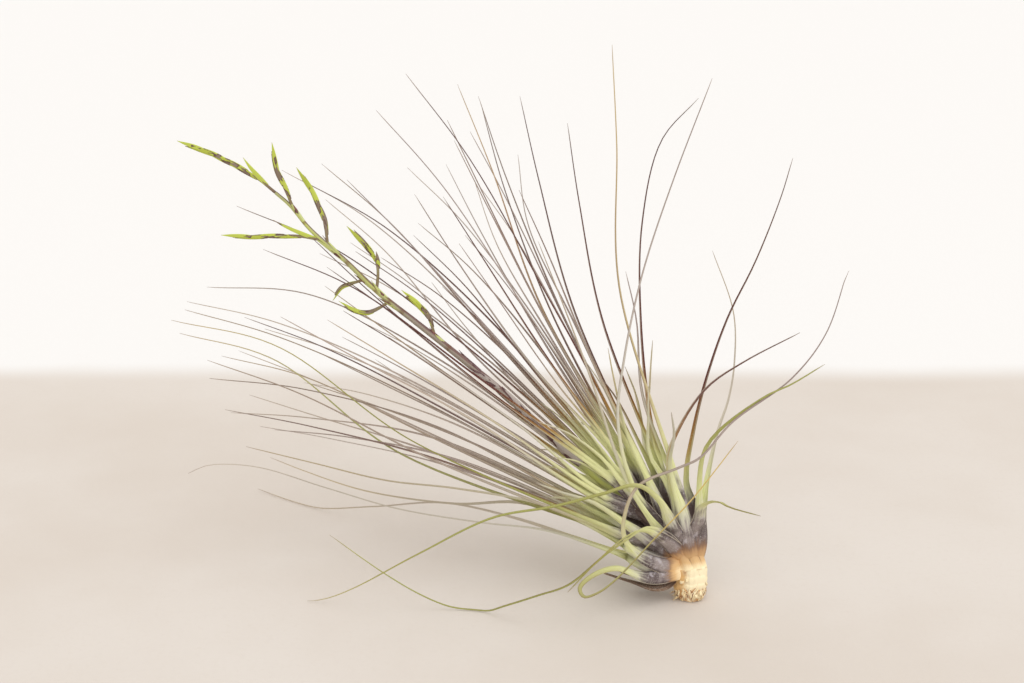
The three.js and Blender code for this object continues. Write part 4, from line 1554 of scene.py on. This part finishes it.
@dataclass
class LeafRosette:
    """About 85 leaves that grew as one leafy stem, with the heart where they meet."""

    stem: Stem
    scape: "FlowerScape"
    sheath_width: float = 10.5  # widest part of a lower leaf's sheath
    sheath_length: float = 34.0
    inner_sheath: float = 0.55  # size of the innermost sheaths against the lowest
    blade: float = 2.0
    tip: float = 0.42
    taper: float = 0.72  # the power by which the blade narrows
    thick: float = 0.95
    tip_thick: float = 0.4
    neck: float = 2.4  # how much wider a blade is where it leaves its sheath
    neck_from: float = 0.9  # where the neck starts to narrow, in sheath lengths
    neck_length: float = 1.2  # over which it narrows
    neck_fold: float = 0.12  # how much of its width the neck folds back
    neck_open: float = 0.35  # how open the neck is against the spoon
    wall: tuple[float, float] = (0.72, 0.5)  # of the thickness, where a leaf is shut and open
    margin: tuple[float, float] = (0.32, 0.14)  # thickness at its margins, shut and open
    margin_most: float = 0.3  # of its width
    bend: tuple[float, float] = (math.radians(86), math.radians(62))  # shut and open
    point_from: float = 0.965  # the part of the blade where its point starts
    point: tuple[float, float] = (0.35, 0.5)  # the point's width and thickness at its end
    ripple: float = 0.025
    sway: float = 0.6
    sway_length: tuple[float, float] = (12, 20)
    twist: float = 1.1  # the most that a blade turns, in radians
    sunk: float = 1.4
    roots: tuple[float, float] = (0.93, 0.06)  # where along the axis the inner and low leaves root
    spread: tuple[float, float] = (math.radians(5), math.radians(52))
    midrib: float = 0.65
    launch: tuple[float, float, float] = (0.62, 0.3, 0.22)  # shares of aim, axis and outward
    lift: float = 26.0
    late: float = 0.8
    depth_curve: float = 1.2
    depth_at_root: float = 2.6
    face_broad: float = 0.9
    low_side: float = 2.4
    rest: float = 0.45  # how high a leaf's line lies on the surface
    rest_softness: float = 0.8
    measured_from: Point = (-20, 42, 5)
    washed: tuple[float, float] = (20.0, 130.0)  # depth of the tips that look washed out
    rim_share: float = 1.0  # how much the tan deepens sideways against upwards
    heart_radius: tuple[float, float] = (9.4, 4.6)
    heart_end: float = 0.97  # where along the axis the heart ends
    heart_overlap: float = 0.012  # how far it starts below the stub's top, as a part of the axis
    heart_middle: float = 0.65
    folds: int = 9  # feet that show round the heart
    fold_twist: float = 3.0
    fold_depth: float = 0.9
    heart_sides: int = 128
    heart_rows: int = 60
    spoon_opens: tuple[float, float] = (-0.4, 0.22)
    spoon_closes: tuple[float, float] = (0.12, 1.3)
    dry_opens: tuple[float, float] = (-0.05, 0.5)
    dry_size: float = 0.8  # a dead sheath shrinks
    spoon_wrap: float = 1.3
    spoon_thicker: float = 0.35
    sheath_rows: int = 18
    blade_step: float = 6.0
    curled_step: float = 1.8
    curl: tuple[float, float] = (1.02, 1.45)

    def __post_init__(self) -> None:
        """Sets out the axis that the leaves root on."""
        self.axis = self.stem.line
        self.stem_top = self.stem.end / self.axis.length
        self.heart = place(self.measured_from)
        self.count = 0

    def _on_axis(self, part: float) -> Array:
        """The place this part of the way along the axis."""
        return self.axis.at(part * self.axis.length)

    def _along_axis(self, part: float) -> Array:
        """The axis's direction this part of the way along it."""
        return self.axis.toward(part * self.axis.length)

    def _broad(self, outward: Array) -> Array:
        """A sheath's facing: away from the stem, and turned to the fan's front or rear."""
        rear = np.sign(outward @ BACK) or -1.0
        return unit(outward + BACK * self.face_broad * rear)

    def _root(self, aim: Array) -> tuple[Array, Array, Array, float]:
        """Where and how a leaf that aims this way leaves the rosette's body.

        Args:
            aim: From the rosette's middle to the middle of the leaf.

        Returns:
            The root, the axis's direction there, the way out, and the leaf's spread.
        """
        heartward = self._along_axis(self.heart_middle)
        under = np.cross(unit(aim), heartward) @ BACK
        angle = math.acos(float(np.clip(unit(aim) @ heartward, -1, 1)))
        spread = angle * (1 + self.low_side * max(0.0, under))
        rooted = aim + BACK * (self.depth_at_root - 1) * (aim @ BACK)
        high, low = self.roots
        level = mix(high, self.stem_top + low, smooth(*self.spread, spread))
        along = self._along_axis(level)
        outward = unit(rooted - along * (rooted @ along))
        radius = mix(*self.heart_radius, smooth(self.stem_top, self.heart_end, level)) - self.sunk
        return self._on_axis(level) + outward * radius, along, outward, spread

    def fan_leaf(self, row: Point, tint: Tint) -> Leaf:
        """A leaf of the fan.

        Args:
            row: Its lean, reach, depth and bows.
            tint: Its colours.

        Returns:
            The leaf.
        """
        lean, reach, depth, bow, late_bow = row
        turn = math.radians(lean)
        chord = RIGHT * math.cos(turn) + UP * math.sin(turn)
        bowed = RIGHT * math.sin(turn) - UP * math.cos(turn)

        def at(part: float, rise: float) -> Array:
            """The point this part of the way along, raised by its bow."""
            return self.heart + chord * part * reach + bowed * rise + BACK * depth * part**self.depth_curve

        points = [at(0.5, bow), at(self.late, late_bow), at(1.0, 0.0)]
        aim = points[0] - self._on_axis(self.heart_middle)
        root, along, outward, spread = self._root(aim)
        onward, upward, outer = self.launch
        start = unit(points[0] - root) * onward + along * upward + outward * outer
        line = Line([root, root + unit(start) * self.lift, *points])
        return self._numbered(line, outward, spread, tint)

    def curled_leaf(self, points: Sequence[Point], tint: Tint) -> Leaf:
        """A leaf that passes through points of its own.

        Args:
            points: Places in the fan's frame.
            tint: Its colours.

        Returns:
            The leaf.
        """
        line = Line([place(p) for p in points])
        outward = place(points[1]) - line.at(0.0)
        heartward = self._along_axis(self.heart_middle)
        spread = math.acos(float(np.clip(unit(outward) @ heartward, -1, 1)))
        along = self._along_axis(self.stem_top)
        outward = unit(outward - along * (outward @ along))
        return self._numbered(line, outward, spread, tint)

    def _numbered(self, line: Line, outward: Array, spread: float, tint: Tint) -> Leaf:
        """The next leaf, with its number."""
        self.count += 1
        return Leaf(line, self._broad(outward), spread, tint, self.count)

    def _off_surface(self, points: Array) -> Array:
        """Lays what would sink into the surface on it."""
        height = (points[:, 2] - self.rest) / self.rest_softness
        points[:, 2] = self.rest + self.rest_softness * np.logaddexp(0, height)
        return points

    def strip(self, leaf: Leaf) -> Strip:
        """Draws a leaf's section along its line.

        Args:
            leaf: The leaf.

        Returns:
            Its strip.
        """
        size = mix(self.inner_sheath, 1.0, smooth(*self.spread, leaf.spread))
        opens = self.spoon_opens
        if leaf.tint is Tint.DRY:
            size, opens = size * self.dry_size, self.dry_opens
        length, sheath = leaf.line.length, self.sheath_length * size
        curl = length / np.linalg.norm(leaf.line.at(length) - leaf.line.at(0.0))
        step = mix(self.blade_step, self.curled_step, smooth(*self.curl, curl))
        knee = min(1.3 * sheath, 0.6 * length)
        rows = max(8, round((length - knee) / step))
        distance = np.concatenate([
            np.linspace(0, knee, self.sheath_rows, endpoint=False), np.linspace(knee, length, rows),
        ])
        s = distance / sheath
        reach = distance / length
        points = leaf.line.at(distance)
        side = np.sign(leaf.line.at(length / 2) @ BACK) or 1.0
        past = distance > sheath
        points[past] = self.scape.keep_clear(points[past], side)
        luck = chance(leaf.index, Draw.LEAF_LUCK)
        wave = np.sin(distance / drawn(*self.sway_length, leaf.index, Draw.LEAF_SWAY) + 6 * luck)
        points = points + (self.sway * smooth(1, 3, s) * wave)[:, None] * BACK
        twist = drawn(-self.twist, self.twist, leaf.index, Draw.LEAF_TWIST) * smooth(1.0, 6.0, s)
        frames = Frames.along(self._off_surface(points), leaf.face, twist)
        taper = np.clip((distance - sheath) / (length - sheath), 0, 1)
        faint = float(smooth(*self.washed, leaf.line.places[-1] @ BACK))
        notes = {
            "sheath_part": s[:, None], "reach": reach[:, None], "run": distance[:, None], "luck": luck,
            **leaf.tint.notes(leaf.index, faint),
        }
        strip = self._section(s, taper, size, opens, leaf.index).strip(frames, notes)
        strip.notes.update(self._from_stem(strip.rings))
        return strip

    def _from_stem(self, rings: Array) -> dict[str, Array]:
        """How far each corner lies from the stem's top.

        Args:
            rings: The corners.

        Returns:
            The distance from the middle of the top, and from the nearest part of it.
        """
        off = rings - self.stem.line.at(self.stem.end)
        rise = off @ self.stem.line.toward(self.stem.end)
        apart = np.linalg.norm(off, axis=-1)
        out = np.sqrt(np.clip(apart**2 - rise**2, 0, None))
        past_rim = np.clip(out - self.heart_radius[0], 0, None)
        return {"apart": apart, "above": np.hypot(np.clip(rise, 0, None), self.rim_share * past_rim)}

    def _section(
        self, s: Array, taper: Array, size: float, opens: tuple[float, float], index: int,
    ) -> Trough:
        """A leaf's section.

        Args:
            s: Distances from the root, in sheath lengths.
            taper: The part of the blade that lies behind, 0 to 1.
            size: The size of its sheath against the lowest.
            opens: The part of the sheath over which it widens.
            index: The leaf's number.

        Returns:
            The section at each distance.
        """
        spoon = smooth(*opens, s) * (1 - smooth(*self.spoon_closes, s))
        blade = mix(self.blade, self.tip, taper**self.taper)
        fading = np.exp(-np.clip(s - self.neck_from, 0, None) / self.neck_length)
        neck = self.neck * size * smooth(0.3, 1.0, s) * fading
        ripple = 1 + self.ripple * spoon * np.sin(9 * s + 6 * chance(index, Draw.LEAF_RIPPLE))
        at_point = smooth(self.point_from, 1.0, taper)
        narrower, thinner = (mix(1.0, least, at_point) for least in self.point)
        width = (blade + neck + (self.sheath_width * size - self.blade) * spoon) * ripple * narrower
        thick = mix(self.thick, self.tip_thick, taper) * (1 + self.spoon_thicker * spoon) * thinner
        sag = thick + self.spoon_wrap * spoon * size + self.neck_fold * neck
        open_part = np.clip(spoon + self.neck_open * neck / self.neck, 0, 1)
        wall = thick * mix(*self.wall, open_part)
        margin = np.minimum(mix(*self.margin, open_part), self.margin_most * width)
        return Trough(width / 2, sag, wall, margin, mix(*self.bend, open_part), self.midrib * thick)

    def heart_strip(self) -> Strip:
        """The rosette's body, where the feet of the sheaths clasp each other, with painted shade on its upper
        part and in its folds.
        """
        part = np.linspace(self.stem_top - self.heart_overlap, self.heart_end, self.heart_rows)
        share = (part - self.stem_top) / (self.heart_end - self.stem_top)
        turn = self.folds / 2 * turns(self.heart_sides)[None] + self.fold_twist * share[:, None]
        wave = np.abs(np.sin(turn))
        radius = mix(*self.heart_radius, share)[:, None] + self.fold_depth * (wave - 0.5)
        rings = rod(Frames.along(self._on_axis(part)), radius, self.heart_sides)
        # painted shade: the upper part counts as hollow, so it takes the dark colour of the hollows, and the
        # fold valleys count as margins, so they take the dark lines of the seams
        notes = {
            "sheath_part": (0.02 + 0.5 * share)[:, None], "reach": 0.05, "run": (share * 60)[:, None],
            "across": 1 - wave, "hollow": smooth(0.3, 0.5, share)[:, None], **self._from_stem(rings),
            "luck": 0.5, **Tint.MAROON.notes(0),
        }
        return Strip(rings, notes)

    def build(self) -> None:
        """Makes the rosette's pieces: its heart and its leaves, group by group."""
        skin = LeafFinish().material()

        def make(name: str, strips: list[Strip]) -> None:
            """Makes one piece of the rosette."""
            Piece(name, "leaf_rosette", "leaf").make(strips, skin)

        make("rosette_heart", [self.heart_strip()])
        for group in FAN_GROUPS:
            make(group.name, [self.strip(self.fan_leaf(row, group.tint)) for row in group.rows])
        fill = FillLeaves()
        rows = list(fill.rows())
        for i in range(fill.groups):
            own = rows[i :: fill.groups]
            tints = [Tint.MAROON if row[0] < fill.warm_from else Tint.MAUVE for row in own]
            strips = [self.strip(self.fan_leaf(row, tint)) for row, tint in zip(own, tints, strict=True)]
            make(f"leaves_fill_{i + 1}", strips)
        make("leaves_young", [self.strip(self.fan_leaf(row, Tint.SILVER)) for row in YOUNG_LEAVES.rows()])
        for group in CURLED_GROUPS:
            make(group.name, [self.strip(self.curled_leaf(leaf, group.tint)) for leaf in group.leaves])


# ------------------------------------------------------------------ flower spike


@dataclass(frozen=True)
class BractShape:
    """A lance-shaped bract, folded along its keel.

    Attributes:
        width: Its widest part, across the fold.
        depth: From its margins to its keel.
        wave: The part of a half wave that its width follows.
        keel: The part of its depth that lies towards the keel.
        least: Its least size, at its point.
        wall: The thickness of its wall.
        bend: How far round its wall goes on each side, in radians.
        rows: Stations along it.
    """

    width: float
    depth: float
    wave: tuple[float, float] = (0.22, 0.985)
    keel: float = 0.55
    least: float = 0.28
    wall: float = 0.42
    bend: float = math.radians(88)
    rows: int = 22

    def strip(self, at: Callable[[Array], Array], keel: Array, index: int, dusk: float) -> Strip:
        """Draws the bract.

        Args:
            at: The places of its middle line, for parts from 0 to 1.
            keel: The way its keel faces.
            index: Its number, for what differs from bract to bract.
            dusk: How dark it is, from 0 to 1.

        Returns:
            Its strip.
        """
        part = np.linspace(0, 1, self.rows)
        shape = np.sin(math.pi * mix(*self.wave, part))
        half = np.maximum(self.width * shape, self.least) / 2
        sag = np.maximum(self.depth * shape, self.least)
        wall = np.minimum(self.wall * 1.6, 0.6 * sag)
        margin = np.minimum(self.wall * 0.5, 0.7 * half)
        trough = Trough(half, sag, wall, margin, np.full(self.rows, self.bend), self.keel * sag)
        notes = {"along": part[:, None], "luck": chance(index, Draw.BRACT_LUCK), "dusk": dusk}
        return trough.strip(Frames.along(at(part), keel), notes)


@dataclass
class FlowerScape:
    """The stalk that carries the spikes, with the bracts that lap over its lower half."""

    route: tuple[Point, ...] = (
        (-20, 44, 0), (-49, 65, 0), (-79, 91, -1), (-104, 114, -2), (-127, 133, -2), (-151, 152, -2),
        (-170, 167, -2), (-190, 186, -2), (-209, 203, -1), (-220, 216, 0), (-228, 223, 0),
    )
    foot: float = 2.7  # radius in the rosette
    end: float = 0.95
    sides: int = 24
    rows: int = 200
    rib: float = 0.03  # height of the ribs, as a part of the radius
    node_size: float = 1.3  # length of the brown mark at a node
    marks: int = 60
    bracts: int = 7
    first_bract: float = 50.0
    bract_every: float = 12.0
    last_bract: float = 0.6  # size of the highest against the lowest
    bract_length: float = 30.0
    bract_width: float = 6.2
    bract_depth: float = 2.8
    bract_wave: tuple[float, float] = (0.3, 0.985)  # also of the small bracts
    bract_stand: tuple[float, float] = (1.8, 2.0)  # how far its point stands off, and by which power
    bract_dusk: float = 0.5
    room: float = 6.5  # depth that leaves keep from the centre line
    room_width: float = 11.0
    axil_width: float = 2.7
    axil_depth: float = 1.35
    axil_stand: tuple[float, float] = (1.6, 1.6)
    axil_dusk: tuple[float, float] = (0.3, 0.9)  # how dark the small bracts are, highest and lowest

    def __post_init__(self) -> None:
        """Draws the centre line."""
        self.line = Line([place(p) for p in self.route])
        self.points = self.line.at(np.linspace(0, self.line.length, self.marks + 1))

    def radius(self, part: float | Array) -> float | Array:
        """The stalk's radius this part of the way along it."""
        return mix(self.foot, self.end, part)

    def keep_clear(self, points: Array, side: float) -> Array:
        """Bends a leaf that would cross the scape past it.

        Args:
            points: Places along the leaf.
            side: 1 to pass behind, -1 in front.

        Returns:
            The places, moved.
        """
        flat = np.stack([points[:, 0], points @ UP], 1)
        own = np.stack([self.points[:, 0], self.points @ UP], 1)
        apart = np.linalg.norm(flat[:, None] - own[None], axis=2)
        nearest = apart.argmin(1)
        away = points @ BACK - (self.points @ BACK)[nearest]
        need = self.room * np.exp(-((apart.min(1) / self.room_width) ** 2))
        return points + (side * np.hypot(away, need) - away)[:, None] * BACK

    def _mark(self, foot: Point) -> int:
        """Which mark on the centre line is nearest to a spike's foot."""
        return int(np.linalg.norm(self.points - place(foot), axis=1).argmin())

    def foot_of(self, spike: "FloralSpike") -> float:
        """How far along the scape a spike leaves it."""
        return self._mark(spike.route[0]) / self.marks * self.line.length

    def spike_line(self, spike: "FloralSpike") -> Line:
        """A spike's line, which starts on the scape's centre line."""
        return Line([self.points[self._mark(spike.route[0])], *(place(p) for p in spike.route[1:])])

    def stalk(self) -> Strip:
        """The stalk, ribbed, with a brown mark at each side spike's bract."""
        distance = np.linspace(GAP, self.line.length, self.rows)
        part = distance / self.line.length
        ribs = 1 + self.rib * np.sin(6 * turns(self.sides)[None] + 9 * part[:, None])
        frames = Frames.along(self.line.at(distance))
        rings = rod(frames, self.radius(part)[:, None] * ribs, self.sides)
        out = unit(rings - rings.mean(1, keepdims=True))
        nodes = np.array([self.foot_of(spike) - spike.axil[0] for spike in SIDE_SPIKES])
        near = np.abs(distance[:, None] - nodes[None]).min(1)
        notes = {
            "along": part[:, None], "around": ring_shares(self.sides),
            "topside": np.clip(out @ unit(UP + RIGHT * 0.9), 0, 1),
            "joint": np.exp(-((near / self.node_size) ** 2))[:, None],
        }
        return Strip(rings, notes)

    def _bract(
        self, start: float, length: float, way: Array, shape: BractShape,
        stand: tuple[float, float], index: int, dusk: float,
    ) -> Strip:
        """A bract that hugs the stalk.

        Args:
            start: How far along the scape it starts.
            length: Its length.
            way: The way its keel faces, as near as the stalk allows.
            shape: Its section.
            stand: How far its point stands off, and by which power of its length.
            index: Its number, for what differs from bract to bract.
            dusk: How dark it is, from 0 to 1.

        Returns:
            The bract's strip.
        """
        tangent = self.line.toward(start)
        keel = unit(way - tangent * (way @ tangent))
        foot = 0.5 * self.radius(start / self.line.length)
        most, power = stand

        def at(t: Array) -> Array:
            """The bract's middle line."""
            off = foot + most * t**power
            return self.line.at(start + t * length) + off[:, None] * keel

        return shape.strip(at, keel, index, dusk)

    def lapping_bracts(self) -> list[Strip]:
        """The long bracts that hug the lower half of the stalk."""
        made = []
        for i in range(self.bracts):
            start = self.first_bract + i * self.bract_every
            turn, tangent = i * GOLDEN_ANGLE, self.line.toward(start)
            way = np.cross(BACK, tangent) * math.sin(turn) - BACK * math.cos(turn)
            size = mix(1.0, self.last_bract, i / self.bracts)
            shape = BractShape(self.bract_width * size, self.bract_depth * size, wave=self.bract_wave)
            length = self.bract_length * size
            made.append(self._bract(start, length, way, shape, self.bract_stand, 10 + i, self.bract_dusk))
        return made

    def axil_bracts(self) -> list[Strip]:
        """The small bracts on the stalk, one under each side spike."""
        shape = BractShape(self.axil_width, self.axil_depth, wave=self.bract_wave)
        made = []
        for i, spike in enumerate(SIDE_SPIKES):
            below, length = spike.axil
            way = unit(place(spike.route[1]) - place(spike.route[0]))
            dusk = mix(*self.axil_dusk, (i / len(SIDE_SPIKES)) ** 2)
            start = self.foot_of(spike) - below
            made.append(self._bract(start, length, way, shape, self.axil_stand, 30 + i, dusk))
        return made

    def build(self) -> None:
        """Makes the stalk and its bracts, and then the spikes that it carries."""
        node = "flower_scape"
        Piece("scape_stalk", node, "scape").make([self.stalk()], ScapeFinish().material())
        Piece("scape_bracts", node, "scape").make(self.lapping_bracts(), STALK_BRACT.material())
        Piece("axil_bracts", node, "scape").make(self.axil_bracts(), AXIL_BRACT.material())
        stalk_skin, bract_skin = ScapeFinish().material(), GREEN_BRACT.material()
        for number, spike in enumerate((TERMINAL_SPIKE, *SIDE_SPIKES), 1):
            spike.build(self.spike_line(spike), number, stalk_skin, bract_skin)


@dataclass
class FloralSpike:
    """A spike of floral bracts in two ranks, which hug its stalk and lap over each other."""

    name: str
    route: tuple[Point, ...]
    bracts: int
    open: float = 0.0  # how far its lowest bract stands off
    stalk: float = 0.85
    stalk_end: float = 0.6
    stalk_part: float = 0.9
    bare_stalk: float = 6.0
    bract_length: float = 19.0
    bract_width: float = 1.9
    bract_depth: float = 2.5
    last_bract: float = 0.9
    over_end: float = 0.8
    short_of_end: float = 4.0  # how far each lower bract ends before the next
    hug: float = 0.25
    stand: float = 0.55
    girth: float = 1.0  # size of the bracts' sections
    dusk: tuple[float, float] = (0.95, 0.35)  # how dark the lower and the highest bracts are
    lowest_length: float = 19.0
    lowest_dusk: float = 0.8
    axil: tuple[float, float] = (9.0, 15.0)  # how far below the spike its bract starts, and its length
    sides: int = 12
    rows: int = 40

    def _stalk_strip(self, line: Line) -> Strip:
        """Its stalk along its line, with the colours of the scape's upper part."""
        distance = np.linspace(GAP, self.stalk_part * line.length, self.rows)
        part = distance / line.length
        notes = {
            "along": (0.68 + 0.3 * part)[:, None], "around": ring_shares(self.sides),
            "topside": 0.55, "joint": 0.0,
        }
        radius = mix(self.stalk, self.stalk_end, part)
        return Strip(rod(Frames.along(line.at(distance)), radius, self.sides), notes)

    def _bract(self, line: Line, number: int, i: int) -> Strip:
        """One of its bracts.

        Args:
            line: Its stalk's line.
            number: Its number, for what differs from spike to spike.
            i: Which bract, counted from the lowest.

        Returns:
            The bract's strip.
        """
        last = line.length - self.over_end * self.bract_length
        size = mix(1.0, self.last_bract, i / self.bracts)
        start = mix(self.bare_stalk, last, i / max(self.bracts - 1, 1))
        end = line.length + 1 - self.short_of_end * (self.bracts - 1 - i)
        reach = min(self.bract_length * size if i else self.lowest_length, end - start)
        rank = 1.0 if i % 2 else -1.0
        stand = self.stand + (0.0 if i else self.open)

        def across(distance: float | Array) -> Array:
            """The way to this bract's rank at a distance along the stalk."""
            return unit(np.cross(line.toward(np.minimum(distance, line.length)), BACK)) * rank

        def at(t: Array) -> Array:
            """The bract's middle line."""
            return line.at(start + t * reach) + across(start + t * reach) * (self.hug + stand * t**2)[:, None]

        dusk = mix(*self.dusk, i / self.bracts) * drawn(0.6, 1.1, i + 9 * number, Draw.BRACT_DUSK)
        if i == 0:
            dusk = self.lowest_dusk
        if i == self.bracts - 1:
            dusk = 0.0
        size *= self.girth
        shape = BractShape(self.bract_width * size, self.bract_depth * size)
        return shape.strip(at, across(start), 100 * number + i, dusk)

    def build(
        self, line: Line, number: int, stalk_skin: bpy.types.Material, bract_skin: bpy.types.Material,
    ) -> None:
        """Makes the spike's two pieces.

        Args:
            line: Its stalk's line.
            number: Its number.
            stalk_skin: The stalk's finish.
            bract_skin: The bracts' finish.
        """
        bracts = [self._bract(line, number, i) for i in range(self.bracts)]
        Piece(f"{self.name}_stalk", self.name, "bract").make([self._stalk_strip(line)], stalk_skin)
        Piece(f"{self.name}_bracts", self.name, "bract").make(bracts, bract_skin)


TERMINAL_SPIKE = FloralSpike(
    "terminal_spike",
    ((-228, 223, 0), (-238, 231, 0), (-252, 239, 0), (-267, 246, 0), (-281.5, 250.5, 0)),
    bracts=7, open=5.0, lowest_dusk=0.1,
)
SIDE_SPIKES = (
    FloralSpike(
        "side_spike_1", ((-218, 214, 0), (-222, 224, -2), (-227, 236, -3), (-230, 249, -4)), bracts=3,
    ),
    FloralSpike(
        "side_spike_2", ((-198, 198, 0), (-202, 210, 2), (-209, 225, 4), (-216, 237, 5)), bracts=4,
    ),
    FloralSpike(
        "side_spike_3", ((-204, 197, 0), (-216, 199, -3), (-236, 198.5, -5), (-256, 198.5, -6)), bracts=5,
        girth=0.9, bare_stalk=2.0, open=8.0, lowest_length=24.0, lowest_dusk=0.35, axil=(19.0, 24.0),
    ),
    FloralSpike(
        "side_spike_4",
        ((-170.5, 170, 0), (-171.5, 181, -3), (-173.5, 188, -4), (-180, 196, -5), (-187, 204, -6)), bracts=4,
        bare_stalk=12.0, open=1.5, lowest_length=9.0, lowest_dusk=0.95,
    ),
    FloralSpike(
        "side_spike_5", ((-181, 173.5, 0), (-187, 172.8, 2), (-192, 171, 3.5), (-197, 165, 5)), bracts=2,
        girth=0.7,
    ),
    FloralSpike(
        "side_spike_6", ((-167, 162, 0), (-176, 157, -3), (-184, 158, -5), (-192, 162, -6)), bracts=3,
        girth=0.85,
    ),
    FloralSpike(
        "side_spike_7", ((-141, 143, 0), (-144, 155, -4), (-150, 162, -6), (-158, 168, -7)), bracts=3,
    ),
)


# ------------------------------------------------------------------ studio


@dataclass(frozen=True)
class Studio:
    """A pale floor, soft light and the camera. Lengths are in metres."""

    floor_size: float = 16.0
    floor_drop: float = 0.0002
    sky: tuple[float, float, float] = (1.0, 0.985, 0.965)
    sky_strength: float = 0.9
    key_strength: float = 1.15
    key_spread: float = math.radians(80)
    key_turn: tuple[float, float, float] = (math.radians(38), math.radians(12), math.radians(24))
    camera_place: tuple[float, float, float] = (-0.0979, -0.8567, 0.4095)
    camera_tilt: float = math.radians(73)
    lens: float = 60.0
    sensor: float = 36.0

    def floor(self) -> None:
        """Makes the floor."""
        half = self.floor_size / 2
        corners = [(-half, -half), (half, -half), (half, half), (-half, half)]
        mesh = bpy.data.meshes.new("floor")
        mesh.from_pydata([(x, y, -self.floor_drop) for x, y in corners], [], [(0, 1, 2, 3)])
        mesh.materials.append(FloorFinish().material())
        floor = added("floor", mesh)

    def lights(self) -> None:
        """Makes the pale surroundings and one broad, soft key light."""
        world = bpy.data.worlds.new("pale_room")
        world.use_nodes = True
        background = world.node_tree.nodes["Background"]
        background.inputs["Color"].default_value = (*self.sky, 1.0)
        background.inputs["Strength"].default_value = self.sky_strength
        bpy.context.scene.world = world
        key = bpy.data.lights.new("key_light", "SUN")
        key.energy = self.key_strength
        key.angle = self.key_spread
        added("key_light", key).rotation_euler = self.key_turn

    def camera(self) -> None:
        """Makes the camera."""
        lens = bpy.data.cameras.new("camera")
        lens.lens, lens.sensor_width = self.lens, self.sensor
        camera = added("camera", lens)
        camera.location = self.camera_place
        camera.rotation_euler = (self.camera_tilt, 0.0, 0.0)
        bpy.context.scene.camera = camera

    def build(self) -> None:
        """Makes the studio."""
        self.camera()
        self.floor()
        self.lights()
        bpy.context.scene.view_settings.view_transform = "Standard"


def main() -> None:
    """Builds the plant around the frame."""
    logging.basicConfig(level=logging.INFO, format="%(message)s")
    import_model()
    Studio().build()
    stem = Stem()
    scape = FlowerScape()
    stem.build()
    LeafRosette(stem, scape).build()
    scape.build()


if __name__ == "__main__":
    main()
